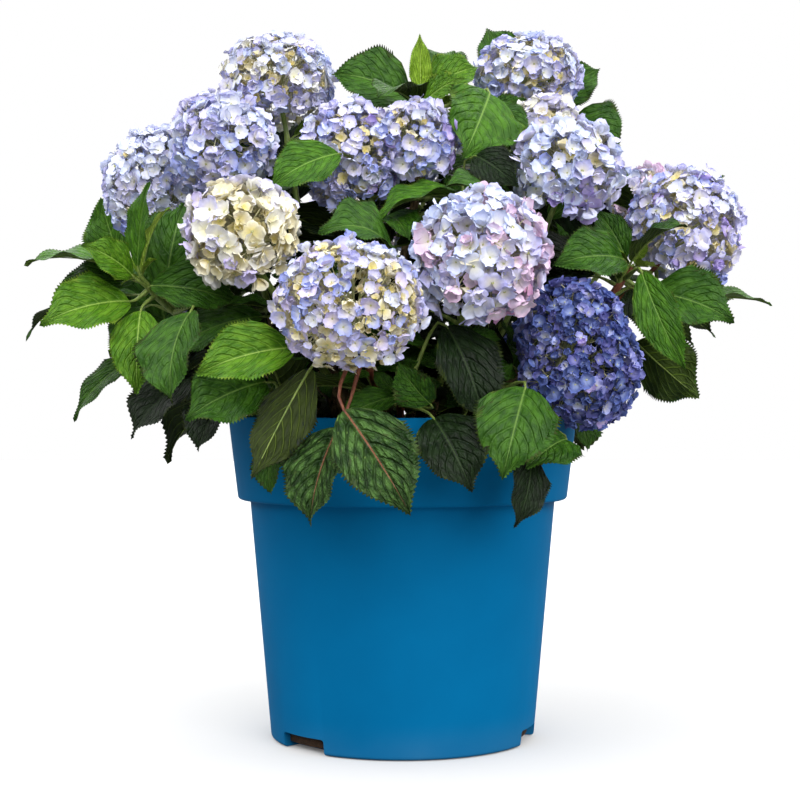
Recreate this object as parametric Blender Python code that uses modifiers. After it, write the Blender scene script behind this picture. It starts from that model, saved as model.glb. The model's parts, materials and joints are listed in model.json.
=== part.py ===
"""A mophead hydrangea in its nursery pot: the pot, the potting mix, the canes, and the leafy shoots in bloom.

Metres, +Z up. The origin is the middle of the pot's flat underside, and -Y is the front of the plant.
"""

import math
import random
from collections import namedtuple

import bmesh
import bpy
from mathutils import Quaternion, Vector
from mathutils.bvhtree import BVHTree

UP = Vector((0, 0, 1))
GAP = 0.0004  # between pieces that touch on the plant

# Pot
POT_HEIGHT = 0.256
RIM_RADIUS = 0.140
BAND_FOOT_RADIUS = 0.132  # lower edge of the wide band under the rim
BAND_FOOT = 0.190  # height of that edge
BODY_TOP_RADIUS = 0.1225
BASE_RADIUS = 0.1055
WALL = 0.002
ROUNDING = 0.0025
POT_SIDES = 48
NOTCH_TURNS = (223, 343, 103)  # degrees round the foot, counted from +X
NOTCH_WIDTH = 0.047
NOTCH_HEIGHT = 0.012
NOTCH_DEPTH = 0.017

# Potting mix
SOIL_TOP = 0.236
SOIL_EDGE = 0.231
SOIL_FLAT_RADIUS = 0.088

# Canes and twigs
CANE_FOOT_RADIUS = 0.0048
CANE_TOP_RADIUS = 0.0034
TWIG_TOP_RADIUS = 0.0022
CANE_SIDES = 6
CANE_RINGS = (0, 0.3, 0.6, 0.96, 1)  # shares of a cane's length. The last two keep its end square to its path
TWIG_RINGS = (0, 0.03, 0.35, 0.7, 1)
CLUMP_SPREAD = 0.30  # a cane's foot stands at this share of its head's distance from the axis
LOW_SPREAD = 0.55  # the same for a low shoot, which leans out further
LOW_HEAD = 0.27
HIGH_HEAD = 0.35

# Leaves
LEAF_LENGTH = 0.095
LEAF_WIDTH = 0.32  # half width over blade length
LEAF_THICK = 0.0022
LEAF_FOLD = math.radians(17)
LEAF_SAG = 0.11  # how far the midrib bows up, over the blade's length
STALK = 0.022
STALK_RADIUS = 0.0016
WIDEST = (0.75, 1.30)  # exponents of the blade's outline: base and drawn-out tip
BLADE_ROWS = (0.13, 0.40, 0.72)
SHY = 1.04  # a leaf is tested for clashes at this share of its width
SHY_THICK = 2.2  # and at this share of its thickness
CROWN_MIDDLE = Vector((0, 0, 0.32))
PAIR_SPACING = 0.030
TOP_CLEARANCE = 0.010  # from the underside of a bloom to the first pair
NAMED_CHANGES = ((5, 0, 1), (-5, 0, 1), (0, 6, 1), (0, -6, 1), (9, 9, 0.93), (-9, 9, 0.93), (9, -9, 0.93),
                 (-9, -9, 0.93), (0, 14, 0.85), (0, -14, 0.85), (16, 0, 0.8), (-16, 0, 0.8), (0, 0, 0.65))
PAIR_CHANGES = ((14, 8, 1), (-14, 8, 1), (0, -16, 1), (0, 20, 0.95), (28, 0, 0.9), (-28, 0, 0.9),
                (20, 26, 0.85), (-20, 26, 0.85), (42, -10, 0.8), (-42, -10, 0.8), (0, -34, 0.8), (0, 44, 0.75),
                (60, 10, 0.7), (-60, 10, 0.7), (0, 0, 0.6), (30, -30, 0.6), (-30, -30, 0.6))

# Blooms
FLORET_BUMP = 0.05  # how far a head's surface goes in and out, over its radius

FRONT = (0.0, -1.0, 0.5)  # the way a leaf's upper side looks
LEFT = (-0.6, -0.8, 0.5)
RIGHT = (0.6, -0.8, 0.5)
ABOVE = (0.0, -0.3, 1.0)
UNDER = (0.3, 0.9, 0.2)  # a leaf that hangs with its underside to the front

Leaf = namedtuple("Leaf", "root base tip sag width face")
Named = namedtuple("Named", "base tip face share sag")
Lobe = namedtuple("Lobe", "x y z wide high")
Shoot = namedtuple("Shoot", "name head lobes pairs turn side_of named")


def named(bx, by, bz, tx, ty, tz, face=FRONT, share=1.0, sag=LEAF_SAG):
    """A leaf given by its blade's base and tip. share is its width over the usual one."""
    return Named(Vector((bx, by, bz)), Vector((tx, ty, tz)), Vector(face).normalized(), share, sag)


def bloom(name, x, y, z, wide, high, pairs, turn, leaves=(), side_of=None):
    """A shoot that ends in one round head."""
    return Shoot(name, Vector((x, y, z)), (Lobe(x, y, z, wide, high),), pairs, turn, side_of, leaves)


def leafy(name, x, y, z, pairs, turn, leaves=(), side_of=None):
    """A shoot that ends in a bud."""
    return Shoot(name, Vector((x, y, z)), (), pairs, turn, side_of, leaves)


# Every shoot: its head, how many pairs of leaves the rule gives it, how far its first pair is turned,
# the leaves that shape the crown's outline, and, for a side shoot, the cane that it grows from.
SHOOTS = [
    bloom("upper_left", -0.103, 0.020, 0.529, 0.048, 0.041, 5, 60),
    bloom("left", -0.200, 0.020, 0.443, 0.046, 0.050, 4, 10, (
        named(-0.236, 0.060, 0.380, -0.257, 0.066, 0.441, LEFT, 1.2, 0.0),
    )),
    bloom("left_inner", -0.138, -0.050, 0.466, 0.041, 0.041, 4, 35, side_of="left"),
    bloom("left_back", -0.163, 0.088, 0.501, 0.034, 0.034, 4, 80, side_of="upper_left"),
    bloom("cream", -0.118, -0.125, 0.391, 0.044, 0.043, 4, 50),
    Shoot("upper_middle", Vector((-0.026, -0.050, 0.460)), (
        Lobe(-0.040, -0.050, 0.459, 0.041, 0.045), Lobe(0.011, -0.052, 0.469, 0.032, 0.036),
    ), 5, 75, None, (
        named(0.040, -0.080, 0.433, -0.027, -0.115, 0.417, FRONT, 0.9),
        named(-0.052, -0.075, 0.455, -0.091, -0.105, 0.427, FRONT, 1.15),
    )),
    bloom("lower_middle", -0.037, -0.180, 0.336, 0.054, 0.047, 3, 15, (
        named(-0.077, -0.165, 0.306, -0.146, -0.185, 0.286, FRONT, 1.0),
        named(-0.065, -0.165, 0.292, -0.105, -0.190, 0.213, UNDER, 0.8, -0.05),
    )),
    bloom("middle_right", 0.057, -0.140, 0.373, 0.050, 0.051, 4, 40, (
        named(-0.008, -0.110, 0.382, -0.062, -0.140, 0.393, ABOVE, 1.2, 0.18),
        named(0.060, -0.050, 0.450, 0.095, -0.080, 0.418, FRONT, 1.0),
    )),
    bloom("upper_right", 0.104, 0.050, 0.541, 0.047, 0.034, 5, 30, (
        named(0.096, 0.110, 0.540, 0.074, 0.112, 0.596, FRONT, 1.2),
        named(0.128, 0.095, 0.522, 0.171, 0.092, 0.556, FRONT, 1.3),
        named(0.130, 0.035, 0.500, 0.177, 0.025, 0.468, RIGHT, 1.4),
        named(0.072, 0.015, 0.494, 0.112, 0.000, 0.507, FRONT, 0.8),
    )),
    bloom("right_inner", 0.117, 0.000, 0.486, 0.032, 0.030, 4, 70, (
        named(0.150, 0.030, 0.450, 0.191, 0.045, 0.458, FRONT, 0.9),
    ), "upper_right"),
    bloom("right_middle", 0.127, -0.070, 0.445, 0.045, 0.041, 4, 20),
    bloom("right", 0.224, -0.020, 0.404, 0.047, 0.052, 4, 50, (
        named(0.215, -0.010, 0.350, 0.302, 0.010, 0.348, ABOVE, 0.6, 0.04),
        named(0.218, 0.015, 0.358, 0.275, 0.025, 0.361, FRONT, 0.9),
        named(0.235, 0.040, 0.380, 0.284, 0.045, 0.393, FRONT, 0.8),
        named(0.222, 0.040, 0.425, 0.268, 0.035, 0.456, FRONT, 0.8),
    )),
    Shoot("deep_blue", Vector((0.129, -0.104, 0.304)), (
        Lobe(0.126, -0.100, 0.320, 0.042, 0.040), Lobe(0.132, -0.104, 0.292, 0.047, 0.045),
    ), 3, 25, None, (
        named(0.128, -0.052, 0.266, 0.150, -0.080, 0.209, RIGHT, 1.3),
        named(0.135, -0.042, 0.276, 0.196, -0.060, 0.260, RIGHT, 1.2),
    )),
    bloom("back_left", -0.155, 0.165, 0.425, 0.048, 0.044, 5, 15),
    bloom("back_middle", -0.035, 0.185, 0.440, 0.050, 0.046, 5, 65),
    bloom("back_right", 0.090, 0.180, 0.430, 0.048, 0.045, 5, 35),
    bloom("right_back", 0.205, 0.110, 0.430, 0.046, 0.044, 5, 5),
    bloom("top_back", 0.020, 0.110, 0.480, 0.044, 0.040, 5, 40),
    bloom("left_low", -0.208, 0.125, 0.335, 0.043, 0.042, 4, 85, side_of="back_left"),
    bloom("back_low_left", -0.085, 0.222, 0.325, 0.046, 0.044, 4, 55, side_of="back_middle"),
    bloom("back_low_right", 0.135, 0.208, 0.312, 0.045, 0.043, 4, 20, side_of="back_right"),
    leafy("leafy_left", -0.198, -0.085, 0.362, 1, 0, (
        named(-0.205, -0.095, 0.343, -0.266, -0.130, 0.324, FRONT, 1.05),
        named(-0.205, -0.060, 0.350, -0.300, -0.030, 0.317, ABOVE, 0.6, 0.14),
        named(-0.205, -0.070, 0.357, -0.268, -0.060, 0.338, LEFT, 0.9),
        named(-0.198, -0.100, 0.368, -0.188, -0.117, 0.431, LEFT, 0.65, 0.03),
        named(-0.202, -0.102, 0.362, -0.235, -0.130, 0.383, FRONT, 1.0),
        named(-0.196, -0.102, 0.338, -0.196, -0.135, 0.277, FRONT, 0.9),
        named(-0.197, -0.070, 0.340, -0.224, -0.060, 0.298, LEFT, 1.0),
        named(-0.200, -0.060, 0.305, -0.260, -0.055, 0.252, LEFT, 0.55),
        named(-0.168, -0.120, 0.334, -0.178, -0.155, 0.265, LEFT, 1.15),
        named(-0.190, -0.090, 0.355, -0.122, -0.085, 0.342, FRONT, 1.0),
    )),
    leafy("leafy_top", 0.020, 0.010, 0.512, 2, 30, (
        named(0.015, 0.000, 0.510, 0.014, 0.000, 0.566, FRONT, 0.5, 0.02),
        named(0.020, 0.010, 0.520, 0.063, 0.012, 0.541, FRONT, 1.3),
        named(0.018, -0.008, 0.508, 0.050, -0.025, 0.525, FRONT, 1.0),
        named(0.006, 0.012, 0.515, -0.058, 0.000, 0.533, FRONT, 1.35),
        named(0.062, -0.005, 0.503, 0.031, -0.028, 0.432, RIGHT, 1.15, 0.03),
        named(0.062, -0.010, 0.500, 0.098, -0.040, 0.476, FRONT, 1.0),
    ), "upper_middle"),
    leafy("leafy_right", 0.178, -0.055, 0.372, 1, 15, (
        named(0.182, -0.064, 0.332, 0.223, -0.098, 0.268, RIGHT, 1.15),
        named(0.178, -0.080, 0.375, 0.216, -0.115, 0.297, FRONT, 0.55),
        named(0.192, -0.055, 0.352, 0.252, -0.085, 0.328, FRONT, 1.2),
        named(0.170, -0.065, 0.377, 0.112, -0.100, 0.370, FRONT, 1.1),
        named(0.175, -0.040, 0.380, 0.152, -0.030, 0.420, FRONT, 0.9),
        named(0.178, -0.060, 0.355, 0.195, -0.095, 0.312, FRONT, 1.1),
    ), "right"),
    leafy("low_left", -0.100, -0.088, 0.275, 1, 70, (
        named(-0.100, -0.135, 0.282, -0.155, -0.165, 0.255, FRONT, 1.3),
        named(-0.122, -0.118, 0.272, -0.148, -0.150, 0.232, LEFT, 1.4),
        named(-0.092, -0.142, 0.240, -0.094, -0.160, 0.201, LEFT, 1.0),
        named(-0.150, -0.080, 0.290, -0.205, -0.100, 0.240, LEFT, 1.1),
    )),
    leafy("low_front", -0.002, -0.125, 0.272, 1, 60, (
        named(-0.041, -0.190, 0.262, 0.006, -0.215, 0.190, FRONT, 1.0, 0.07),
        named(-0.045, -0.172, 0.250, -0.065, -0.195, 0.181, LEFT, 1.15, 0.07),
        named(0.022, -0.152, 0.256, 0.049, -0.180, 0.204, FRONT, 1.3),
        named(0.022, -0.125, 0.328, 0.060, -0.150, 0.255, FRONT, 1.0),
    )),
    leafy("low_right", 0.070, -0.112, 0.282, 1, 10, (
        named(0.088, -0.150, 0.278, 0.069, -0.185, 0.213, FRONT, 1.2),
        named(0.120, -0.124, 0.240, 0.087, -0.165, 0.221, FRONT, 1.3),
        named(0.050, -0.146, 0.264, 0.053, -0.172, 0.217, LEFT, 0.9),
        named(0.093, -0.148, 0.236, 0.081, -0.178, 0.185, RIGHT, 0.8),
    )),
    leafy("low_back_left", -0.060, 0.130, 0.280, 3, 25),
    leafy("low_back_right", 0.110, 0.090, 0.285, 3, 50),
]


def material(name, colour, roughness):
    made = bpy.data.materials.new(name)
    made.use_nodes = True
    shader = made.node_tree.nodes["Principled BSDF"]
    shader.inputs["Base Color"].default_value = (*colour, 1)
    shader.inputs["Roughness"].default_value = roughness
    shader.inputs["Metallic"].default_value = 0
    return made


def object_of(name, mesh, collection, paint=None):
    made = bpy.data.objects.new(name, mesh)
    collection.objects.link(made)
    if paint:
        mesh.materials.clear()
        mesh.materials.append(paint)
    return made


def mesh_of(name, shape):
    bmesh.ops.recalc_face_normals(shape, faces=shape.faces)
    mesh = bpy.data.meshes.new(name)
    shape.to_mesh(mesh)
    shape.free()
    return mesh


def as_helper(thing):
    thing.hide_render = True
    thing.display_type = "WIRE"
    return thing


def cut(thing, cutter):
    modifier = thing.modifiers.new("cut", "BOOLEAN")
    modifier.operation = "DIFFERENCE"
    modifier.solver = "EXACT"
    modifier.object = cutter


def baked(thing, name):
    """The object's evaluated mesh, as a mesh of its own."""
    graph = bpy.context.evaluated_depsgraph_get()
    mesh = bpy.data.meshes.new_from_object(thing.evaluated_get(graph))
    mesh.name = name
    return mesh


def turned(name, profile, collection, paint=None):
    """A solid turned about Z from a profile that runs down its outer side and ends on the axis."""
    mesh = bpy.data.meshes.new(name)
    mesh.from_pydata([(r, 0, z) for r, z in profile], [(i, i + 1) for i in range(len(profile) - 1)], [])
    made = object_of(name, mesh, collection, paint)
    screw = made.modifiers.new("turn", "SCREW")
    screw.steps = screw.render_steps = POT_SIDES
    screw.use_merge_vertices = True
    screw.merge_threshold = 0.0001
    screw.use_smooth_shade = True
    return made


def pot_outside():
    top = POT_HEIGHT
    return [
        (0, top + 0.010), (RIM_RADIUS - ROUNDING, top + 0.010), (RIM_RADIUS - ROUNDING, top),
        (RIM_RADIUS - 0.3 * ROUNDING, top - 0.2 * ROUNDING), (RIM_RADIUS, top - ROUNDING),
        (BAND_FOOT_RADIUS, BAND_FOOT + ROUNDING), (BAND_FOOT_RADIUS - ROUNDING, BAND_FOOT),
        (BODY_TOP_RADIUS, BAND_FOOT), (BASE_RADIUS, 2 * ROUNDING),
        (BASE_RADIUS - 0.4 * ROUNDING, 0.6 * ROUNDING), (BASE_RADIUS - ROUNDING, 0), (0, 0),
    ]


def pot_inside(top, shrink):
    """The cavity's outline, drawn in by shrink, from the height top down to the floor."""
    step = BAND_FOOT + WALL + shrink
    band_slope = (RIM_RADIUS - BAND_FOOT_RADIUS) / (POT_HEIGHT - ROUNDING - BAND_FOOT)
    band = BAND_FOOT_RADIUS - WALL - shrink
    body = BODY_TOP_RADIUS - WALL - shrink
    return [
        (band + band_slope * (top - step), top), (band, step), (body, step),
        (BASE_RADIUS - WALL - shrink, WALL + shrink), (0, WALL + shrink),
    ]


def notch_boxes(name, grow, collection):
    """A box for each drain notch in the foot, grown on its roof, back and sides."""
    made = []
    for degrees in NOTCH_TURNS:
        inner, outer = BASE_RADIUS - NOTCH_DEPTH - grow, BASE_RADIUS + 0.03
        bottom, roof = -0.02, NOTCH_HEIGHT + grow
        shape = bmesh.new()
        bmesh.ops.create_cube(shape, size=1)
        for vert in shape.verts:
            x, y, z = vert.co
            vert.co = Vector((inner + (x + 0.5) * (outer - inner), y * (NOTCH_WIDTH + 2 * grow),
                              bottom + (z + 0.5) * (roof - bottom)))
        box = as_helper(object_of(f"{name}_{degrees}", mesh_of(name, shape), collection))
        box.rotation_euler.z = math.radians(degrees)
        made.append(box)
    return made


def make_pot(parts, cutters, paint):
    pot = turned("pot", pot_outside(), parts, paint)
    hollow = [(0, POT_HEIGHT + 0.02)] + pot_inside(POT_HEIGHT + 0.02, 0)
    cavity = as_helper(turned("pot_cavity", hollow, cutters))
    for box in notch_boxes("notch_hood", WALL, cutters):
        cut(cavity, box)
    for box in notch_boxes("notch", 0, cutters):
        cut(pot, box)
    cut(pot, cavity)
    return pot


def make_soil(parts, cutters, paint):
    body = pot_inside(SOIL_EDGE, GAP)
    soil = turned("potting_mix", [(0, SOIL_TOP), (SOIL_FLAT_RADIUS, SOIL_TOP)] + body, parts, paint)
    for box in notch_boxes("notch_room", WALL + GAP, cutters):
        cut(soil, box)
    return soil


def bezier(a, b, c, d, count=48):
    made = []
    for i in range(count + 1):
        t = i / count
        made.append(a * (1 - t) ** 3 + b * (3 * t * (1 - t) ** 2) + c * (3 * t * t * (1 - t)) + d * t ** 3)
    return made


def path_length(path):
    return sum((q - p).length for p, q in zip(path, path[1:]))


def along(path, distance):
    """The point that far along the path, and the path's direction there. Below 0 it runs straight on."""
    for p, q in zip(path, path[1:]):
        step = (q - p).length
        if distance <= step:
            return p + (q - p) * (distance / step), (q - p).normalized()
        distance -= step
    return path[-1].copy(), (path[-1] - path[-2]).normalized()


def tube_mesh(name, points, radii, sides):
    """A tapered round tube with closed ends, made as a bevelled curve."""
    curve = bpy.data.curves.new(name, "CURVE")
    curve.dimensions = "3D"
    curve.bevel_depth = 1
    curve.bevel_resolution = (sides - 4) // 2
    curve.use_fill_caps = True
    line = curve.splines.new("POLY")
    line.points.add(len(points) - 1)
    for place, point, radius in zip(line.points, points, radii):
        place.co = (*point, 1)
        place.radius = radius
    holder = bpy.data.objects.new(name, curve)
    bpy.context.scene.collection.objects.link(holder)
    mesh = baked(holder, name)
    bpy.data.objects.remove(holder)
    shape = bmesh.new()
    shape.from_mesh(mesh)
    bmesh.ops.remove_doubles(shape, verts=shape.verts, dist=1e-5)
    bpy.data.meshes.remove(mesh)
    return mesh_of(name, shape)


def limb_mesh(name, path, shares, start, end, radius_start, radius_end, sides):
    """A tapering limb along the path, with a ring at each share of the way from start to end."""
    points = [along(path, start + (end - start) * share)[0] for share in shares]
    radii = [radius_start + (radius_end - radius_start) * share for share in shares]
    return tube_mesh(name, points, radii, sides)


def midrib(leaf, share):
    """The point and direction of the midrib, which bows to the upper side, at that share of its length."""
    chord = leaf.tip - leaf.base
    up = leaf.face - chord * (leaf.face.dot(chord) / chord.length_squared)
    up = up.normalized() * (leaf.sag * chord.length)
    point = leaf.base + chord * share + up * (4 * share * (1 - share))
    return point, (chord + up * (4 - 8 * share)).normalized()


def across(leaf, direction):
    """The leaf's side direction and its upper side's normal where it runs that way."""
    normal = leaf.face - direction * leaf.face.dot(direction)
    normal = normal.normalized() if normal.length > 0.05 else direction.orthogonal().normalized()
    return direction.cross(normal), normal


def half_width(leaf, share):
    """Half the blade's width at that share of its length: egg-shaped, with a drawn-out tip."""
    base, point = WIDEST
    peak = base / (base + point)
    top = peak ** base * (1 - peak) ** point
    return leaf.width * (leaf.tip - leaf.base).length * share ** base * (1 - share) ** point / top


def leaf_sections(leaf, thick, widen):
    """Rings of four points, left, top, right and bottom, from the root to the last row, and the tip."""
    rings = []
    direction = (leaf.base - leaf.root).normalized()
    side, normal = across(leaf, direction)
    for point in (leaf.root, leaf.base):
        r = STALK_RADIUS
        rings.append([point - side * r, point + normal * r, point + side * r, point - normal * r])
    for share in BLADE_ROWS:
        point, direction = midrib(leaf, share)
        side, normal = across(leaf, direction)
        half = half_width(leaf, share) * widen
        lift = normal * (half * math.sin(LEAF_FOLD))
        wing = side * (half * math.cos(LEAF_FOLD))
        up = normal * (thick / 2)
        rings.append([point - wing + lift, point + up, point + wing + lift, point - up])
    return rings, leaf.tip


def loft(rings, end):
    """A closed shape through the rings, flat at its first ring and pointed at its end."""
    shape = bmesh.new()
    made = [[shape.verts.new(p) for p in ring] for ring in rings]
    for a, b in zip(made, made[1:]):
        for i in range(len(a)):
            j = (i + 1) % len(a)
            shape.faces.new((a[i], a[j], b[j], b[i]))
    point = shape.verts.new(end)
    last = made[-1]
    for i in range(len(last)):
        shape.faces.new((last[i], last[(i + 1) % len(last)], point))
    shape.faces.new(made[0])
    return shape


def leaf_tree(leaf, first_ring):
    """The leaf, a little wider and thicker than it is made, as a tree for clash tests, from that ring on."""
    rings, end = leaf_sections(leaf, LEAF_THICK * SHY_THICK, SHY)
    shape = loft(rings[first_ring:], end)
    tree = BVHTree.FromBMesh(shape)
    shape.free()
    return tree


def bearing(azimuth, rise):
    return Vector((math.cos(azimuth) * math.cos(rise), math.sin(azimuth) * math.cos(rise), math.sin(rise)))


def outward_face(point, rng):
    face = (point - CROWN_MIDDLE).normalized() * 0.7 + UP * 0.75
    stray = Vector((rng.uniform(-0.25, 0.25), rng.uniform(-0.25, 0.25), rng.uniform(-0.1, 0.1)))
    return (face + stray).normalized()


def pair_leaf(root, azimuth, rank, rng):
    """One leaf of a pair. rank counts the pairs down from the head: the lower lie flatter and are larger."""
    rise = math.radians(40 - 15 * rank + rng.uniform(-8, 8))
    droop = math.radians(30 + 3 * rank + rng.uniform(-6, 6))
    length = LEAF_LENGTH * (0.92 + 0.07 * rank + rng.uniform(-0.08, 0.08))
    base = root + bearing(azimuth, rise) * STALK
    tip = base + bearing(azimuth, rise - droop) * length
    face = outward_face(base + (tip - base) / 2, rng)
    return Leaf(root, base, tip, LEAF_SAG, LEAF_WIDTH * rng.uniform(0.94, 1.06), face)


def moved(leaf, turn, tilt, share):
    """The leaf turned about the vertical and tilted up by these degrees about its root, its blade shortened."""
    level = UP.cross(leaf.tip - leaf.root).normalized()
    spin = Quaternion(UP, math.radians(turn)) @ Quaternion(level, math.radians(-tilt))
    base = leaf.root + spin @ (leaf.base - leaf.root)
    return leaf._replace(base=base, tip=base + spin @ (leaf.tip - leaf.base) * share, face=spin @ leaf.face)


def middle_and_reach(leaf):
    middle = (leaf.root + leaf.tip) / 2
    return middle, max((leaf.root - middle).length, (leaf.base - middle).length) + 0.012


class Space:
    """What already stands in the crown, for keeping each new leaf clear of it."""

    def __init__(self):
        self.things = []

    def add(self, owner, tree, middle, reach):
        self.things.append((owner, tree, middle, reach))

    def near(self, middle, reach):
        return [t for t in self.things if (t[2] - middle).length < t[3] + reach]

    def takes(self, owner, leaf):
        """Whether the leaf clears the other shoots whole, and its own shoot with its blade."""
        found = self.near(*middle_and_reach(leaf))
        if not found:
            return True
        whole, blade = leaf_tree(leaf, 0), leaf_tree(leaf, 2)
        return not any((blade if name == owner else whole).overlap(tree) for name, tree, _, _ in found)

    def fit(self, owner, choices):
        """The first of the leaves that clears the rest, in a list, or an empty list."""
        for leaf in choices:
            if self.takes(owner, leaf):
                self.add(owner, leaf_tree(leaf, 0), *middle_and_reach(leaf))
                return [leaf]
        return []


def tree_of(mesh):
    shape = bmesh.new()
    shape.from_mesh(mesh)
    tree = BVHTree.FromBMesh(shape)
    shape.free()
    return tree


def add_mesh(space, owner, mesh):
    points = [v.co for v in mesh.vertices]
    middle = sum(points, Vector()) / len(points)
    space.add(owner, tree_of(mesh), middle, max((p - middle).length for p in points))


def bloom_mesh(name, ball, rng):
    """One lobe of a mophead, whose surface goes in and out as its florets do."""
    shape = bmesh.new()
    bmesh.ops.create_icosphere(shape, subdivisions=2, radius=1)
    for vert in shape.verts:
        out = vert.co * (1 + rng.uniform(-0.4, 1) * FLORET_BUMP)
        vert.co = Vector((ball.x + out.x * ball.wide, ball.y + out.y * ball.wide, ball.z + out.z * ball.high))
    return mesh_of(name, shape)


def shoot_seed(shoot):
    return sum(map(ord, shoot.name))


def facing(shoot):
    """The way a head looks: out from the crown's middle, and up."""
    return ((shoot.head - CROWN_MIDDLE).normalized() * 0.7 + UP * 0.8).normalized()


def cane_path(shoot):
    head = shoot.head
    low = min(1.0, max(0.0, (HIGH_HEAD - head.z) / (HIGH_HEAD - LOW_HEAD)))
    spread = CLUMP_SPREAD + (LOW_SPREAD - CLUMP_SPREAD) * low
    foot = Vector((head.x * spread, head.y * spread, SOIL_TOP + GAP))
    reach = (head - foot).length
    start = (UP + 0.5 * Vector((head.x, head.y, 0)).normalized()).normalized()
    return bezier(foot, foot + start * reach * 0.4, head - facing(shoot) * reach * 0.35, head)


def side_path(shoot, parent_path, parent_end):
    """A side shoot leaves its cane below the cane's end and turns up to its own head."""
    start, direction = along(parent_path, parent_end * 0.62)
    reach = (shoot.head - start).length
    leave = (direction * 0.5 + (shoot.head - start).normalized()).normalized()
    return bezier(start, start + leave * reach * 0.35, shoot.head - facing(shoot) * reach * 0.35, shoot.head)


def first_pair(shoot):
    return (shoot.lobes[0].high if shoot.lobes else 0.008) + TOP_CLEARANCE


def leafy_reach(shoot, path):
    """How far from its head, along its path, a shoot carries leaves."""
    wanted = first_pair(shoot) + PAIR_SPACING * max(1.5, shoot.pairs - 1)
    return min(wanted, 0.74 * path_length(path))


def named_leaves(shoot, path, row):
    """A named leaf from each root on the stem, the likeliest first, and then the first moved a little."""
    length = path_length(path)
    first, last = first_pair(shoot) * 0.6, leafy_reach(shoot, path)
    roots = [along(path, length - first - (last - first) * i / 8)[0] for i in range(9)]
    roots.sort(key=lambda root: abs((row.base - root).length - STALK))
    made = [Leaf(root, row.base, row.tip, row.sag, LEAF_WIDTH * row.share, row.face) for root in roots]
    return made + [moved(made[0], *change) for change in NAMED_CHANGES]


def pair_leaves(shoot, path, rank, half, rng):
    """One leaf of the rule's pairs, as it falls out and then moved more and more."""
    first, last = first_pair(shoot), leafy_reach(shoot, path) - 0.006
    step = min(PAIR_SPACING, (last - first) / max(1, shoot.pairs - 1))
    root, _ = along(path, path_length(path) - first - step * rank)
    azimuth = math.radians(shoot.turn + 90 * rank + 180 * half + rng.uniform(-12, 12))
    leaf = pair_leaf(root, azimuth, rank, rng)
    return [leaf] + [moved(leaf, *change) for change in PAIR_CHANGES]


def grow_leaves(paths, space):
    """Each shoot's leaves: the named ones first, then pairs, each turned a quarter from the pair above it."""
    leaves = {shoot.name: [] for shoot in SHOOTS}
    for shoot in SHOOTS:
        for row in shoot.named:
            leaves[shoot.name] += space.fit(shoot.name, named_leaves(shoot, paths[shoot.name], row))
    chances = {shoot.name: random.Random(shoot_seed(shoot)) for shoot in SHOOTS}
    for rank in range(max(shoot.pairs for shoot in SHOOTS)):
        for shoot in [s for s in SHOOTS if s.pairs > rank]:
            for half in range(2):
                choices = pair_leaves(shoot, paths[shoot.name], rank, half, chances[shoot.name])
                leaves[shoot.name] += space.fit(shoot.name, choices)
    return leaves


def fuse(name, meshes, parts, paint):
    """One solid from the meshes, which all run into each other."""
    others = bpy.data.collections.new(name + "_pieces")
    bpy.context.scene.collection.children.link(others)
    for i, mesh in enumerate(meshes[1:]):
        object_of(f"{name}_piece_{i}", mesh, others)
    first = object_of(name + "_first", meshes[0], parts)
    union = first.modifiers.new("union", "BOOLEAN")
    union.operation = "UNION"
    union.solver = "MANIFOLD"
    union.operand_type = "COLLECTION"
    union.collection = others
    bpy.context.view_layer.update()
    whole = baked(first, name)
    bpy.data.objects.remove(first)
    for piece in list(others.objects):
        bpy.data.objects.remove(piece)
    bpy.data.collections.remove(others)
    return object_of(name, whole, parts, paint)


def ground_box(cutters):
    """A block that ends the canes flat, a gap above the potting mix."""
    shape = bmesh.new()
    bmesh.ops.create_cube(shape, size=0.3)
    bmesh.ops.translate(shape, verts=shape.verts, vec=(0, 0, SOIL_TOP + GAP - 0.15))
    return as_helper(object_of("ground", mesh_of("ground", shape), cutters))


def make_cane(shoot, parts, bark, ground, space):
    path = cane_path(shoot)
    end = path_length(path) - leafy_reach(shoot, path)
    mesh = limb_mesh("cane", path, CANE_RINGS, -0.004, end, CANE_FOOT_RADIUS, CANE_TOP_RADIUS, CANE_SIDES)
    add_mesh(space, "limb", mesh)
    cut(object_of(f"cane_{shoot.name}", mesh, parts, bark), ground)
    return path, end


def make_bough(shoot, parent_path, parent_end, parts, cutters, bark, space):
    """A side shoot's bare foot, cut so that it fits round its cane, a gap clear of it."""
    path = side_path(shoot, parent_path, parent_end)
    end = path_length(path) - leafy_reach(shoot, path)
    mesh = limb_mesh("bough", path, CANE_RINGS, 0, end, CANE_TOP_RADIUS * 1.05, CANE_TOP_RADIUS, CANE_SIDES)
    add_mesh(space, "limb", mesh)
    fork = limb_mesh("fork", parent_path, CANE_RINGS, -0.004, parent_end, CANE_FOOT_RADIUS + GAP,
                     CANE_TOP_RADIUS + GAP, CANE_SIDES)
    cutter = as_helper(object_of(f"fork_{shoot.name}", fork, cutters))
    cut(object_of(f"bough_{shoot.name}", mesh, parts, bark), cutter)
    return path, end


def make_limbs(parts, cutters, bark, space):
    """A cane or side bough for each shoot, up to where its leaves begin. Returns each one's path and end."""
    ground = ground_box(cutters)
    made = {s.name: make_cane(s, parts, bark, ground, space) for s in SHOOTS if not s.side_of}
    for shoot in [s for s in SHOOTS if s.side_of]:
        made[shoot.name] = make_bough(shoot, *made[shoot.side_of], parts, cutters, bark, space)
    return made


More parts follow.
